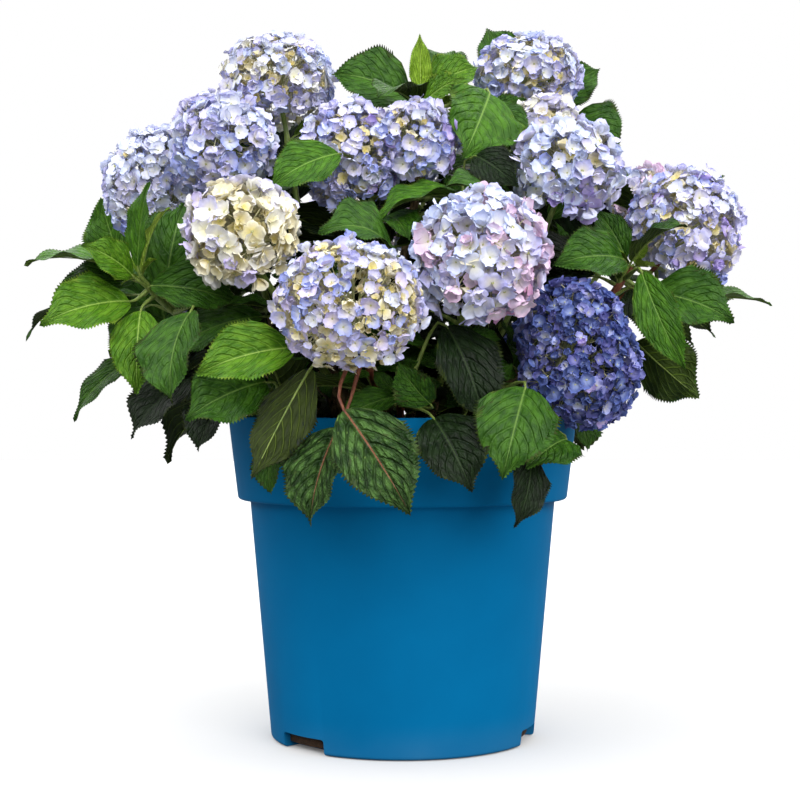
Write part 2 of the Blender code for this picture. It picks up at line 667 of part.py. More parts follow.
def make_shoots(limbs, parts, green, space):
    bodies = {}
    for shoot in SHOOTS:
        path, end = limbs[shoot.name]
        rng = random.Random(shoot_seed(shoot))
        stop = path_length(path) - (0.6 * shoot.lobes[0].high if shoot.lobes else 0)
        foot = CANE_TOP_RADIUS * 0.95
        twig = limb_mesh("twig", path, TWIG_RINGS, end + GAP, stop, foot, TWIG_TOP_RADIUS, 4)
        bodies[shoot.name] = [twig] + [bloom_mesh("bloom", ball, rng) for ball in shoot.lobes]
        for mesh in bodies[shoot.name]:
            add_mesh(space, shoot.name, mesh)
    leaves = grow_leaves({name: path for name, (path, _) in limbs.items()}, space)
    for shoot in SHOOTS:
        blades = [mesh_of("leaf", loft(*leaf_sections(leaf, LEAF_THICK, 1))) for leaf in leaves[shoot.name]]
        fuse(f"shoot_{shoot.name}", bodies[shoot.name] + blades, parts, green)
    return sum(map(len, leaves.values()))


def main():
    for thing in list(bpy.data.objects):
        bpy.data.objects.remove(thing)
    scene = bpy.context.scene
    parts = bpy.data.collections.new("hydrangea_in_pot")
    cutters = bpy.data.collections.new("cutters")
    for collection in (parts, cutters):
        scene.collection.children.link(collection)
    blue = material("pot_blue", (0.01, 0.16, 0.42), 0.4)
    mix = material("potting_mix", (0.045, 0.03, 0.02), 0.95)
    bark = material("bark", (0.16, 0.12, 0.05), 0.8)
    green = material("foliage", (0.07, 0.2, 0.04), 0.6)
    pot = make_pot(parts, cutters, blue)
    soil = make_soil(parts, cutters, mix)
    space = Space()
    bpy.context.view_layer.update()
    for thing in (pot, soil):
        add_mesh(space, "pot", baked(thing, "pot_copy"))
    limbs = make_limbs(parts, cutters, bark, space)
    count = make_shoots(limbs, parts, green, space)
    print(f"{len(parts.objects)} pieces, {count} leaves")


main()
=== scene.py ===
import json
import math
import random
from collections import namedtuple

import bmesh
import bpy
import numpy as np
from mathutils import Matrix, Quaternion, Vector, noise
from mathutils.bvhtree import BVHTree

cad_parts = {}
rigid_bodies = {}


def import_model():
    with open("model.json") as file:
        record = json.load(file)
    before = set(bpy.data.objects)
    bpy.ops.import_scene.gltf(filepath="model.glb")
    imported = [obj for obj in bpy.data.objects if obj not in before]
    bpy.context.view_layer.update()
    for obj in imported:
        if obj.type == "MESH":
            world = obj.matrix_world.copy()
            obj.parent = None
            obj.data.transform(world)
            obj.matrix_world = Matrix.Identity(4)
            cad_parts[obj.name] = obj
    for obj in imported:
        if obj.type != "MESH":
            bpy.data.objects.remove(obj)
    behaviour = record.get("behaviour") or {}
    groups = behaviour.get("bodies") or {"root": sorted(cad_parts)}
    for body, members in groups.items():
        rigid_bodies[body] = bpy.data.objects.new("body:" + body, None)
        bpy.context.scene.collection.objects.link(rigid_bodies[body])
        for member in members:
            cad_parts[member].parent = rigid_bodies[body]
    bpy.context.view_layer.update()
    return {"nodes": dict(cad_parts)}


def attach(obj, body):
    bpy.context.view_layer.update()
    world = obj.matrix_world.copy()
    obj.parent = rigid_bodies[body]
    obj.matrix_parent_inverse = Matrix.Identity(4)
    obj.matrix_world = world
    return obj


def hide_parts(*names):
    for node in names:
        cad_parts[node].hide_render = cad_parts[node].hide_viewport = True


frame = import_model()
up = Vector((0, 0, 1))
gap = 0.0004  # between solids that touch on the plant


# An output of a node. A sum of such values lays the nodes that work it out
class Value:
    def __init__(self, wires, socket):
        self.wires, self.socket, self.isVector = wires, socket, socket.type == "VECTOR"

    def calc(self, operation, *others):
        kind = "ShaderNodeVectorMath" if self.isVector else "ShaderNodeMath"
        return self.wires.add(kind, self, *others, operation=operation)

    def __add__(self, other):
        return self.calc("ADD", other)

    def __sub__(self, other):
        return self.calc("SUBTRACT", other)

    def __rsub__(self, other):
        return self.wires.add("ShaderNodeMath", other, self, operation="SUBTRACT")

    def __mul__(self, other):
        byNumber = self.isVector and not (isinstance(other, tuple) or getattr(other, "isVector", False))
        return self.calc("SCALE" if byNumber else "MULTIPLY", other)

    def __truediv__(self, other):
        return self.calc("DIVIDE", other)


# Short calls for building node trees, shaders and geometry alike
class Wiring:
    def __init__(self, tree):
        self.tree = tree

    def feed(self, node, key, value):
        live = [s for s in node.inputs if s.enabled]
        socket = live[key] if isinstance(key, int) else next(s for s in live if s.name == key)
        if isinstance(value, Value):
            self.tree.links.new(value.socket, socket)
        else:
            socket.default_value = value

    # A node with its values in socket order. Gives its first live output, or the one that is asked for
    def add(self, kind, *values, named=None, output=None, **settings):
        node = self.tree.nodes.new(kind)
        for key, value in settings.items():
            setattr(node, key, value)
        for key, value in [*enumerate(values), *(named or {}).items()]:
            if value is not None:
                self.feed(node, key, value)
        return Value(self, next(s for s in node.outputs if s.enabled and output in (None, s.name)))

    def ramp(self, value, low, high, start=0.0, end=1.0):
        return self.add("ShaderNodeMapRange", value, low, high, start, end, interpolation_type="SMOOTHSTEP")

    def mix(self, share, first, second):
        return self.add("ShaderNodeMix", share, first, second, data_type="RGBA")

    def read(self, name, kind="FLOAT"):
        return self.add("GeometryNodeInputNamedAttribute", name, data_type=kind)

    def grain(self, place, scale, detail, rough=0.6, **settings):
        return self.add("ShaderNodeTexNoise", place, scale, detail, rough, **settings)

    def bump(self, height, strength, distance):
        return self.add("ShaderNodeBump", named={"Strength": strength, "Distance": distance, "Height": height})

    # The outputs of a shader group by label
    def use(self, group, **values):
        node = self.tree.nodes.new("ShaderNodeGroup")
        node.node_tree = group
        for label, value in values.items():
            self.feed(node, label, value)
        return {s.name: Value(self, s) for s in node.outputs}

    def patch(self, scale, detail, high=1.0):
        return self.use(patches, Scale=scale, Detail=detail, High=high)["Value"]

    # Ends a node group with what it puts out. Gives the group
    def put(self, **values):
        for label, value in values.items():
            self.tree.links.new(value.socket, self.sink[label])
        return self.tree

    # Feeds a material's shader. Gives the material
    def finish(self, **values):
        for label, value in values.items():
            self.feed(self.shader, label.replace("_", " "), value)
        return self.paint


# An empty node group. Beside each label stands its first value, or its kind where it has none
def newGroup(name, kind, inputs, outputs):
    tree = bpy.data.node_groups.new(name, kind)
    for side, sockets in (("INPUT", inputs), ("OUTPUT", outputs)):
        for label, value in sockets.items():
            socketKind = value if isinstance(value, str) else type(value).__name__.capitalize()
            made = tree.interface.new_socket(label, in_out=side, socket_type="NodeSocket" + socketKind)
            if socketKind != value:
                made.default_value = value
    wires = Wiring(tree)
    wires.given = {s.name: Value(wires, s) for s in tree.nodes.new("NodeGroupInput").outputs}
    wires.sink = tree.nodes.new("NodeGroupOutput").inputs
    return wires


def newTree(name, **inputs):
    return newGroup(name, "GeometryNodeTree", {"Geometry": "Geometry", **inputs}, {"Geometry": "Geometry"})


def newPattern(name, inputs, *outputs):
    return newGroup(name, "ShaderNodeTree", inputs, dict.fromkeys(outputs, "Float"))


def newPaint(name, **plain):
    paint = bpy.data.materials.new(name)
    paint.use_nodes = True
    wires = Wiring(paint.node_tree)
    wires.paint, wires.shader = paint, paint.node_tree.nodes["Principled BSDF"]
    wires.finish(**plain)
    return wires


def colour(red, green, blue):  # 0 to 255 as on a screen, made linear
    return tuple(((c / 255 + 0.055) / 1.055) ** 2.4 for c in (red, green, blue)) + (1,)


# Soft patches between nothing and a highest value, in metres over the object
def buildPatches():
    wires = newPattern("patches", {"Scale": 60.0, "Detail": 3.0, "High": 1.0}, "Value")
    place = wires.add("ShaderNodeTexCoord", output="Object")
    cloud = wires.grain(place, wires.given["Scale"], wires.given["Detail"], 0.55)
    return wires.put(Value=wires.add("ShaderNodeMapRange", cloud, 0.3, 0.7, 0.0, wires.given["High"]))


patches = buildPatches()


def newObject(name, data):
    made = bpy.data.objects.new(name, data)
    bpy.context.scene.collection.objects.link(made)
    return made


def meshed(name, shape):
    mesh = bpy.data.meshes.new(name)
    shape.to_mesh(mesh)
    shape.free()
    return newObject(name, mesh)


# The object's evaluated mesh as a plain object of the same name. The one it came from goes
def settle(thing):
    name = thing.name
    bpy.context.view_layer.update()
    graph = bpy.context.evaluated_depsgraph_get()
    mesh = bpy.data.meshes.new_from_object(thing.evaluated_get(graph), depsgraph=graph)
    bpy.data.objects.remove(thing)
    mesh.name = name
    return newObject(name, mesh)


# A geometry tree on an object, its sizes set by label, and the result as a plain mesh
def grow(thing, tree, **sizes):
    modifier = thing.modifiers.new(tree.name, "NODES")
    modifier.node_group = tree
    for item in tree.interface.items_tree:
        if item.in_out == "INPUT" and item.name in sizes:
            modifier[item.identifier] = sizes[item.name]
    return settle(thing)


# A mesh of loose points or lines that carries values for a geometry tree
def carrier(name, places, lines=(), **values):
    mesh = bpy.data.meshes.new(name)
    mesh.from_pydata(places, lines, [])
    for label, column in values.items():
        kind = {int: "INT", float: "FLOAT"}.get(type(column[0]), "FLOAT_VECTOR")
        made = mesh.attributes.new(label, kind, "POINT")
        if kind == "FLOAT_VECTOR":
            made.data.foreach_set("vector", np.array([tuple(v) for v in column], np.float32).ravel())
        else:
            made.data.foreach_set("value", column)
    return newObject(name, mesh)


# Set Material for each finish, picked by a number that the faces carry, at the end of a tree
def setPaints(wires, shape, number, paints):
    for i, paint in enumerate(paints):
        match = wires.add("FunctionNodeCompare", number, float(i), 0.2, data_type="FLOAT", operation="EQUAL")
        shape = wires.add("GeometryNodeSetMaterial", shape, match, paint)
    return wires.put(Geometry=shape)


# A second map where each finish has a square of its own, so that a baked pattern stays whole
def tileMap(mesh, pattern):
    target = mesh.uv_layers.new(name="OFBake")
    spots = np.zeros(len(mesh.loops) * 2, np.float32)
    mesh.uv_layers[pattern].data.foreach_get("uv", spots)
    kinds, counts = (np.zeros(len(mesh.polygons), np.int32) for _ in range(2))
    mesh.polygons.foreach_get("material_index", kinds)
    mesh.polygons.foreach_get("loop_total", counts)
    kinds = np.repeat(kinds, counts)
    side = math.ceil(math.sqrt(len(mesh.materials)))
    spots = spots.reshape(-1, 2) * 0.94 + 0.03  # a thin margin inside each square
    spots = (spots + np.stack((kinds % side, kinds // side), 1)) / side
    target.data.foreach_set("uv", spots.astype(np.float32).ravel())


def countTriangles(thing):
    print(f"{thing.name}: {sum(len(p.vertices) - 2 for p in thing.data.polygons)} triangles")


def finishPiece(piece, nodes):
    kept = ("material_index", "sharp_face", "sharp_edge")
    for layer in list(piece.data.attributes):
        if not layer.is_required and layer.domain != "CORNER" and layer.name not in kept:
            piece.data.attributes.remove(layer)
    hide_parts(*nodes)
    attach(piece, "root")
    countTriangles(piece)


stageLook = {"lens": 75.2, "eye": (-0.002, -1.35, 0.269), "floor": 0.58, "floorBounce": 0.22, "floorGlow": 0.09,
             "floorDrop": 0.0005, "horizon": 0.12, "dome": 2.65, "zenith": 0.5, "backdrop": 1.0,
             "lights": (("key", (0.55, -1.0, 0.42), 1.45, 40, (1, 0.99, 0.98)),
                        ("sky", (-0.55, -0.6, 1.3), 0.9, 60, (0.98, 0.99, 1)),
                        ("rear", (0.1, 1.0, 0.8), 0.4, 80, (0.98, 0.99, 1)))}


# A wide soft light, so far away that it lights the whole floor evenly
def softLight(name, source, strength, angle, tint):
    lamp = bpy.data.lights.new(name, "SUN")
    lamp.energy = strength
    lamp.angle = math.radians(angle)
    lamp.color = tint
    made = newObject(name, lamp)
    made.location = Vector(source) * 2
    made.rotation_euler = (-Vector(source)).to_track_quat("-Z", "Y").to_euler()


def buildStage(look):
    camera = bpy.data.cameras.new("camera")
    camera.lens = look["lens"]
    eye = newObject("camera", camera)
    eye.location = look["eye"]
    eye.rotation_euler = (math.radians(90), 0, 0)
    scene = bpy.context.scene
    scene.camera = eye
    scene.view_settings.view_transform = "Standard"
    for row in look["lights"]:
        softLight(*row)
    scene.world = bpy.data.worlds.new("studio")
    scene.world.use_nodes = True
    wires = Wiring(scene.world.node_tree)
    seen = wires.add("ShaderNodeLightPath")  # the backdrop looks white, but lights the plant mainly from above
    way = wires.add("ShaderNodeTexCoord", output="Generated")
    rise = wires.add("ShaderNodeSeparateXYZ", way, output="Z")
    air = wires.ramp(rise, 0.2, 0.5, look["horizon"], look["dome"])
    air *= wires.ramp(rise, 0.7, 1.0, 1.0, look["zenith"] / look["dome"])
    sky = wires.tree.nodes["Background"]
    wires.feed(sky, "Strength", wires.add("ShaderNodeMapRange", seen, 0.0, 1.0, air, look["backdrop"]))
    wires.feed(sky, "Color", (1, 1, 1, 1))
    sheet = bmesh.new()
    bmesh.ops.create_grid(sheet, x_segments=2, y_segments=2, size=6)
    floor = meshed("floor", sheet)
    floor.location.z = -look["floorDrop"]
    wires = newPaint("paleFloor", Roughness=0.9, Specular_IOR_Level=0.0, Emission_Color=(1, 1, 1, 1))
    seen = wires.add("ShaderNodeLightPath")  # bright to look at, but it throws little light back on the pot
    shade = wires.add("ShaderNodeMapRange", seen, 0.0, 1.0, look["floorBounce"], look["floor"])
    floor.data.materials.append(wires.finish(Base_Color=shade, Emission_Strength=seen * look["floorGlow"]))
    print("stage set")


buildStage(stageLook)

potSizes = {"height": 0.256, "rimRadius": 0.140, "bandFootRadius": 0.132, "bandFoot": 0.190,
            "bodyTopRadius": 0.1225, "baseRadius": 0.1055, "wall": 0.002, "rounding": 0.0025, "sides": 160,
            "solidTop": 0.236, "solidRadius": 0.12, "hollowTop": 0.28, "footInset": 0.006, "bandRound": 0.0028,
            "stepRound": 0.0012, "lipRounds": (0.0009, 0.0007), "notchTurns": (223, 343, 103),
            "notchWidth": 0.047, "notchHeight": 0.012, "notchDepth": 0.017, "notchFoot": -0.02}


# The satin blue of moulded plastic, a little worn and dusty near the ground
def potPaint():
    wires = newPaint("satinBluePlastic", Specular_IOR_Level=0.02)
    place = wires.add("ShaderNodeTexCoord", output="Object")
    height = wires.add("ShaderNodeSeparateXYZ", place, output="Z")
    cloud, grain = wires.patch(9.0, 4.0), wires.patch(900.0, 2.0)
    flow = wires.grain(place * (60, 60, 5), 3.0, 3.0)  # faint upright flow lines of the mould
    body = wires.mix(cloud, colour(0, 97, 147), colour(1, 105, 157))
    tone = wires.mix(wires.ramp(height, 0.03, 0.0, 0.0, 0.16) * cloud, body, colour(96, 120, 138))
    relief = wires.bump(flow * 0.6 + grain * 0.25, 0.12, 0.0004)
    return wires.finish(Base_Color=tone, Roughness=flow * 0.10 + cloud * 0.06 + 0.40, Normal=relief)


# A profile of (radius, height, rounding) corners with an arc at each rounded one
def rounded(corners, steps=5):
    points = []
    for i, (radius, height, rounding) in enumerate(corners):
        corner = Vector((radius, height))
        if not rounding:
            points.append(corner)
            continue
        before, after = Vector(corners[i - 1][:2]) - corner, Vector(corners[i + 1][:2]) - corner
        start, end = corner + before.normalized() * rounding, corner + after.normalized() * rounding
        for k in range(steps + 1):
            t = k / steps
            points.append(start * (1 - t) ** 2 + corner * (2 * t * (1 - t)) + end * t * t)
    return points


# A closed mesh turned about Z from a profile that starts and ends on the axis
def turned(name, profile, sides):
    shape = bmesh.new()
    turns = [2 * math.pi * k / sides for k in range(sides)]
    rings = []
    for radius, height in profile:
        if radius < 1e-6:
            rings.append([shape.verts.new((0, 0, height))] * sides)
        else:
            rings.append([shape.verts.new((radius * math.cos(a), radius * math.sin(a), height)) for a in turns])
    for lower, upper in zip(rings, rings[1:]):
        for k in range(sides):
            corners = [lower[k - 1], lower[k], upper[k], upper[k - 1]]
            shape.faces.new(sorted(set(corners), key=corners.index))
    bmesh.ops.recalc_face_normals(shape, faces=shape.faces)
    return meshed(name, shape)


# The air of one drain notch, or, grown by the wall, the plastic that lines it
def notchBox(sizes, degrees, grow):
    inner, outer = sizes["baseRadius"] - sizes["notchDepth"] - grow, sizes["baseRadius"] + 0.03
    foot, roof, width = sizes["notchFoot"], sizes["notchHeight"] + grow, sizes["notchWidth"] + 2 * grow
    shape = bmesh.new()
    bmesh.ops.create_cube(shape, size=1)
    for vert in shape.verts:
        x, y, z = vert.co
        vert.co = Vector((inner + (x + 0.5) * (outer - inner), y * width, foot + (z + 0.5) * (roof - foot)))
    tops = [e for e in shape.edges if all(v.co.z > 0 for v in e.verts)]
    tops = [e for e in tops if abs(e.verts[0].co.y - e.verts[1].co.y) < 1e-6]
    bmesh.ops.bevel(shape, geom=tops, offset=sizes["rounding"], segments=4, affect="EDGES", profile=0.5)
    box = meshed("notchBox", shape)
    box.rotation_euler.z = math.radians(degrees)
    return box


def cutAway(thing, cutters):
    for cutter in cutters:
        modifier = thing.modifiers.new("cut", "BOOLEAN")
        modifier.operation = "DIFFERENCE"
        modifier.solver = "EXACT"
        modifier.object = cutter
    made = settle(thing)
    for cutter in cutters:
        bpy.data.objects.remove(cutter)
    return made


# Smooth shading with hard edges where the faces turn by more than these degrees
def smoothShade(mesh, degrees=30):
    shape = bmesh.new()
    shape.from_mesh(mesh)
    for face in shape.faces:
        face.smooth = True
    for edge in shape.edges:
        edge.smooth = edge.calc_face_angle(0) < math.radians(degrees)
    shape.to_mesh(mesh)
    shape.free()


def buildPot(sizes):
    names = ("baseRadius", "bodyTopRadius", "bandFootRadius", "rimRadius", "bandFoot", "height", "wall",
             "hollowTop")
    base, body, bandBase, rim, bandFoot, height, wall, top = (sizes[name] for name in names)
    slope = (rim - bandBase) / (height - sizes["rounding"] - bandFoot)
    step = bandFoot + wall
    wide, tight, (outer, inner) = sizes["bandRound"], sizes["stepRound"], sizes["lipRounds"]
    outside = [(0, 0, 0), (base - sizes["footInset"], 0, 0), (base, 0, wide), (body, bandFoot, tight),
               (bandBase, bandFoot, wide), (rim, height, outer), (rim - wall, height, inner),
               (sizes["solidRadius"], sizes["solidTop"], 0), (0, sizes["solidTop"], 0)]
    hollow = [(0, top, 0), (bandBase - wall + slope * (top - step), top, 0), (bandBase - wall, step, tight),
              (body - wall, step, tight), (base - wall, wall, wide), (0, wall, 0)]
    pot = turned("pottedShrubPot", rounded(outside), sizes["sides"])
    cavity = turned("hollow", rounded(hollow), sizes["sides"])
    cavity = cutAway(cavity, [notchBox(sizes, turn, wall) for turn in sizes["notchTurns"]])
    pot = cutAway(pot, [notchBox(sizes, turn, 0) for turn in sizes["notchTurns"]] + [cavity])
    pot.name = "potBody"
    smoothShade(pot.data)
    pot.data.materials.clear()
    pot.data.materials.append(potPaint())
    finishPiece(pot, ["pot"])


buildPot(potSizes)

mixLook = {"top": 0.236, "edge": 0.231, "flatRadius": 0.088, "crust": 0.0012, "rings": 46, "sides": 120,
           "lumps": 0.0022, "lumpScale": 70, "grainScale": 260, "grainShare": 0.6, "rimFade": 0.01,
           "wallSlope": 0.125, "foot": ((0, 0.004), (0.100, 0.004), (0.119, 0.19), (0.1285, 0.1935)),
           "crumbs": 1100, "smallest": 0.0008, "largest": 0.0032, "seed": 4,
           "stretches": ((1, 0.8, 0.7), (1, 0.9, 0.85), (1.7, 0.5, 0.35), (1.1, 1, 0.5))}


def mixPaint(name, dark, light):
    wires = newPaint(name, Specular_IOR_Level=0.25)
    clods, fibres, damp = wires.patch(150.0, 6.0), wires.patch(700.0, 4.0), wires.patch(22.0, 2.0)
    tone = wires.mix(fibres * 0.4, wires.mix(clods, dark, light), colour(92, 66, 44))
    relief = wires.bump(clods + fibres, 0.6, 0.0012)
    return wires.finish(Base_Color=tone, Roughness=damp * 0.25 + 0.7, Normal=relief)


# Crumbs strewn over the mix: each is one of the templates, turned and sized by chance
def crumbTree(paint):
    wires = newTree("strewnCrumbs", Crumbs="Collection", Density=20000.0, Smallest=0.001, Largest=0.003, Seed=1)
    given = wires.given
    normal = wires.add("GeometryNodeInputNormal")
    level = wires.add("ShaderNodeSeparateXYZ", normal, output="Z").calc("GREATER_THAN", 0.5)
    strewn = wires.add("GeometryNodeDistributePointsOnFaces", given["Geometry"], level, given["Density"],
                       given["Seed"])
    picks = wires.add("GeometryNodeCollectionInfo", given["Crumbs"], True, True)
    turn = wires.add("FunctionNodeRandomValue", (0, 0, 0), (6.28, 6.28, 6.28), named={"Seed": given["Seed"]},
                     data_type="FLOAT_VECTOR")
    chance = wires.add("FunctionNodeRandomValue", 0.0, 1.0, named={"Seed": 7}).calc("POWER", 2.4)
    span = wires.add("ShaderNodeMapRange", chance, 0.0, 1.0, given["Smallest"], given["Largest"])
    kind = wires.add("FunctionNodeRandomValue", 0, 3, named={"Seed": 11}, data_type="INT")
    turn = wires.add("FunctionNodeEulerToRotation", turn)
    crumbs = wires.add("GeometryNodeInstanceOnPoints", strewn, None, picks, True, kind, turn, span)
    crumbs = wires.add("GeometryNodeRealizeInstances", crumbs)
    crumbs = wires.add("GeometryNodeSetMaterial", crumbs, None, paint)
    both = wires.add("GeometryNodeJoinGeometry", given["Geometry"])
    wires.feed(both.socket.node, 0, crumbs)
    return wires.put(Geometry=both)


def hiddenCollection(name, things):
    made = bpy.data.collections.new(name)
    for thing in things:
        bpy.context.scene.collection.objects.unlink(thing)
        made.objects.link(thing)
    return made


def dropCollection(made):
    for thing in list(made.objects):
        bpy.data.objects.remove(thing)
    bpy.data.collections.remove(made)


def crumbTemplates(stretches, rng):
    made = []
    for k, stretch in enumerate(stretches):
        shape = bmesh.new()
        bmesh.ops.create_icosphere(shape, subdivisions=1, radius=1)
        for vert in shape.verts:
            push = 1 + rng.uniform(-0.3, 0.25)
            vert.co = Vector([c * push * s for c, s in zip(vert.co, stretch)])
        made.append(meshed(f"crumb{k}", shape))
    return hiddenCollection("crumbs", made)


def buildMix(look):
    rng = random.Random(look["seed"])
    top, edge = look["top"], look["edge"]
    edgeRadius = potSizes["bandFootRadius"] - potSizes["wall"] - gap
    edgeRadius += (edge - potSizes["bandFoot"]) * look["wallSlope"]
    profile = [*look["foot"], (edgeRadius, edge)]
    for k in range(1, look["rings"]):
        radius = edgeRadius * (1 - k / look["rings"])
        drop = min(1, max(0, (radius - look["flatRadius"]) / (edgeRadius - look["flatRadius"])))
        profile.append((radius, top - look["crust"] - (top - edge) * drop))
    profile.append((0, top - look["crust"]))
    heap = turned("pottingMix", [Vector(p) for p in profile], look["sides"])
    for vert in heap.data.vertices:
        x, y, z = vert.co
        if z > edge - 0.002:
            inner = min(1, max(0, (edgeRadius - math.hypot(x, y)) / look["rimFade"]))
            lump = noise.fractal(Vector((x, y, 0)) * look["lumpScale"], 0.9, 2.2, 5)
            lump += look["grainShare"] * noise.noise(Vector((x, y, 3)) * look["grainScale"])
            vert.co.z += look["lumps"] * lump * inner
    smoothShade(heap.data, 60)
    heap.data.materials.append(mixPaint("dampPottingMix", colour(34, 24, 17), colour(62, 44, 30)))
    crumbs = crumbTemplates(look["stretches"], rng)
    tree = crumbTree(mixPaint("barkCrumbs", colour(58, 38, 24), colour(112, 80, 52)))
    heap = grow(heap, tree, Crumbs=crumbs, Density=look["crumbs"] / (math.pi * edgeRadius ** 2),
                Smallest=look["smallest"], Largest=look["largest"], Seed=look["seed"])
    dropCollection(crumbs)
    finishPiece(heap, ["potting_mix"])


buildMix(mixLook)

# Lengths in metres. Where three numbers stand together, they are the first pair's value, how much more each pair
# below it has, and how far chance may shift it
plan = {"soilTop": 0.236, "caneFootRadius": 0.0048, "caneTopRadius": 0.0034, "twigTopRadius": 0.0022,
        "caneSides": 6, "twigSides": 4, "caneRings": (0, 0.3, 0.6, 0.96, 1), "twigRings": (0, 0.03, 0.35, 0.7, 1),
        "footDepth": 0.004, "boughFoot": 1.05, "twigFoot": 0.95, "twigInHead": 0.6, "clumpSpread": 0.30,
        "lowSpread": 0.55, "lowHead": 0.27, "highHead": 0.35, "caneLean": 0.5, "caneStart": 0.4, "bend": 0.35,
        "boughFrom": 0.62, "headOut": 0.7, "headUp": 0.8, "leafLength": 0.095, "leafWidth": 0.32,
        "leafThick": 0.0022, "leafFold": math.radians(17), "leafSag": 0.11, "stalk": 0.022,
        "stalkRadius": 0.0016, "widest": (0.75, 1.30), "bladeRows": (0.13, 0.40, 0.72), "shy": 1.04,
        "shyThick": 2.2, "leafMargin": 0.012, "crownMiddle": Vector((0, 0, 0.32)), "faceOut": 0.7, "faceUp": 0.75,
        "faceStray": (0.25, 0.25, 0.1), "pairRise": (40, -15, 8), "pairDroop": (30, 3, 6),
        "pairLength": (0.92, 0.07, 0.08), "pairWidth": (0.94, 1.06), "pairTurn": 12, "pairSpacing": 0.030,
        "topClearance": 0.010, "bareTop": 0.008, "leastPairs": 1.5, "leafyShare": 0.74, "lastPair": 0.006,
        "namedFrom": 0.6, "namedRoots": 9, "floretBump": 0.05, "bareCorner": (0.18, 0.24)}
# How a leaf that has no room may be changed: degrees about the vertical, degrees up, and share of its length
namedChanges = ((5, 0, 1), (-5, 0, 1), (0, 6, 1), (0, -6, 1), (9, 9, 0.93), (-9, 9, 0.93), (9, -9, 0.93),
                (-9, -9, 0.93), (0, 14, 0.85), (0, -14, 0.85), (16, 0, 0.8), (-16, 0, 0.8), (0, 0, 0.65))
pairChanges = ((14, 8, 1), (-14, 8, 1), (0, -16, 1), (0, 20, 0.95), (28, 0, 0.9), (-28, 0, 0.9),
               (20, 26, 0.85), (-20, 26, 0.85), (42, -10, 0.8), (-42, -10, 0.8), (0, -34, 0.8), (0, 44, 0.75),
               (60, 10, 0.7), (-60, 10, 0.7), (0, 0, 0.6), (30, -30, 0.6), (-30, -30, 0.6))
front = (0.0, -1.0, 0.5)  # the way a leaf's upper side looks
left = (-0.6, -0.8, 0.5)
right = (0.6, -0.8, 0.5)
above = (0.0, -0.3, 1.0)
over = (0.0, -0.7, 0.75)
behind = (0.0, 1.0, 0.45)
under = (0.3, 0.9, 0.2)  # hangs with its underside to the front

Leaf = namedtuple("Leaf", "root base tip sag width face look")
Named = namedtuple("Named", "base tip face share sag look")
Lobe = namedtuple("Lobe", "x y z wide high")
Shoot = namedtuple("Shoot", "name head lobes pairs turn sideOf named")


def metres(*lengths):  # from millimetres
    return [length / 1000 for length in lengths]


def named(bx, by, bz, tx, ty, tz, face=front, share=1.0, look="mid", sag=plan["leafSag"]):
    base, tip = Vector(metres(bx, by, bz)), Vector(metres(tx, ty, tz))
    return Named(base, tip, Vector(face).normalized(), share, sag, look)


def newShoot(name, x, y, z, lobes, pairs, turn, leaves=(), sideOf=None):
    lobes = tuple(Lobe(*metres(*row)) for row in lobes)
    return Shoot(name, Vector(metres(x, y, z)), lobes, pairs, turn, sideOf, leaves)


def bloom(name, x, y, z, wide, high, pairs, turn, leaves=(), sideOf=None):
    return newShoot(name, x, y, z, ((x, y, z, wide, high),), pairs, turn, leaves, sideOf)


def leafy(name, x, y, z, pairs, turn, leaves=(), sideOf=None):
    return newShoot(name, x, y, z, (), pairs, turn, leaves, sideOf)


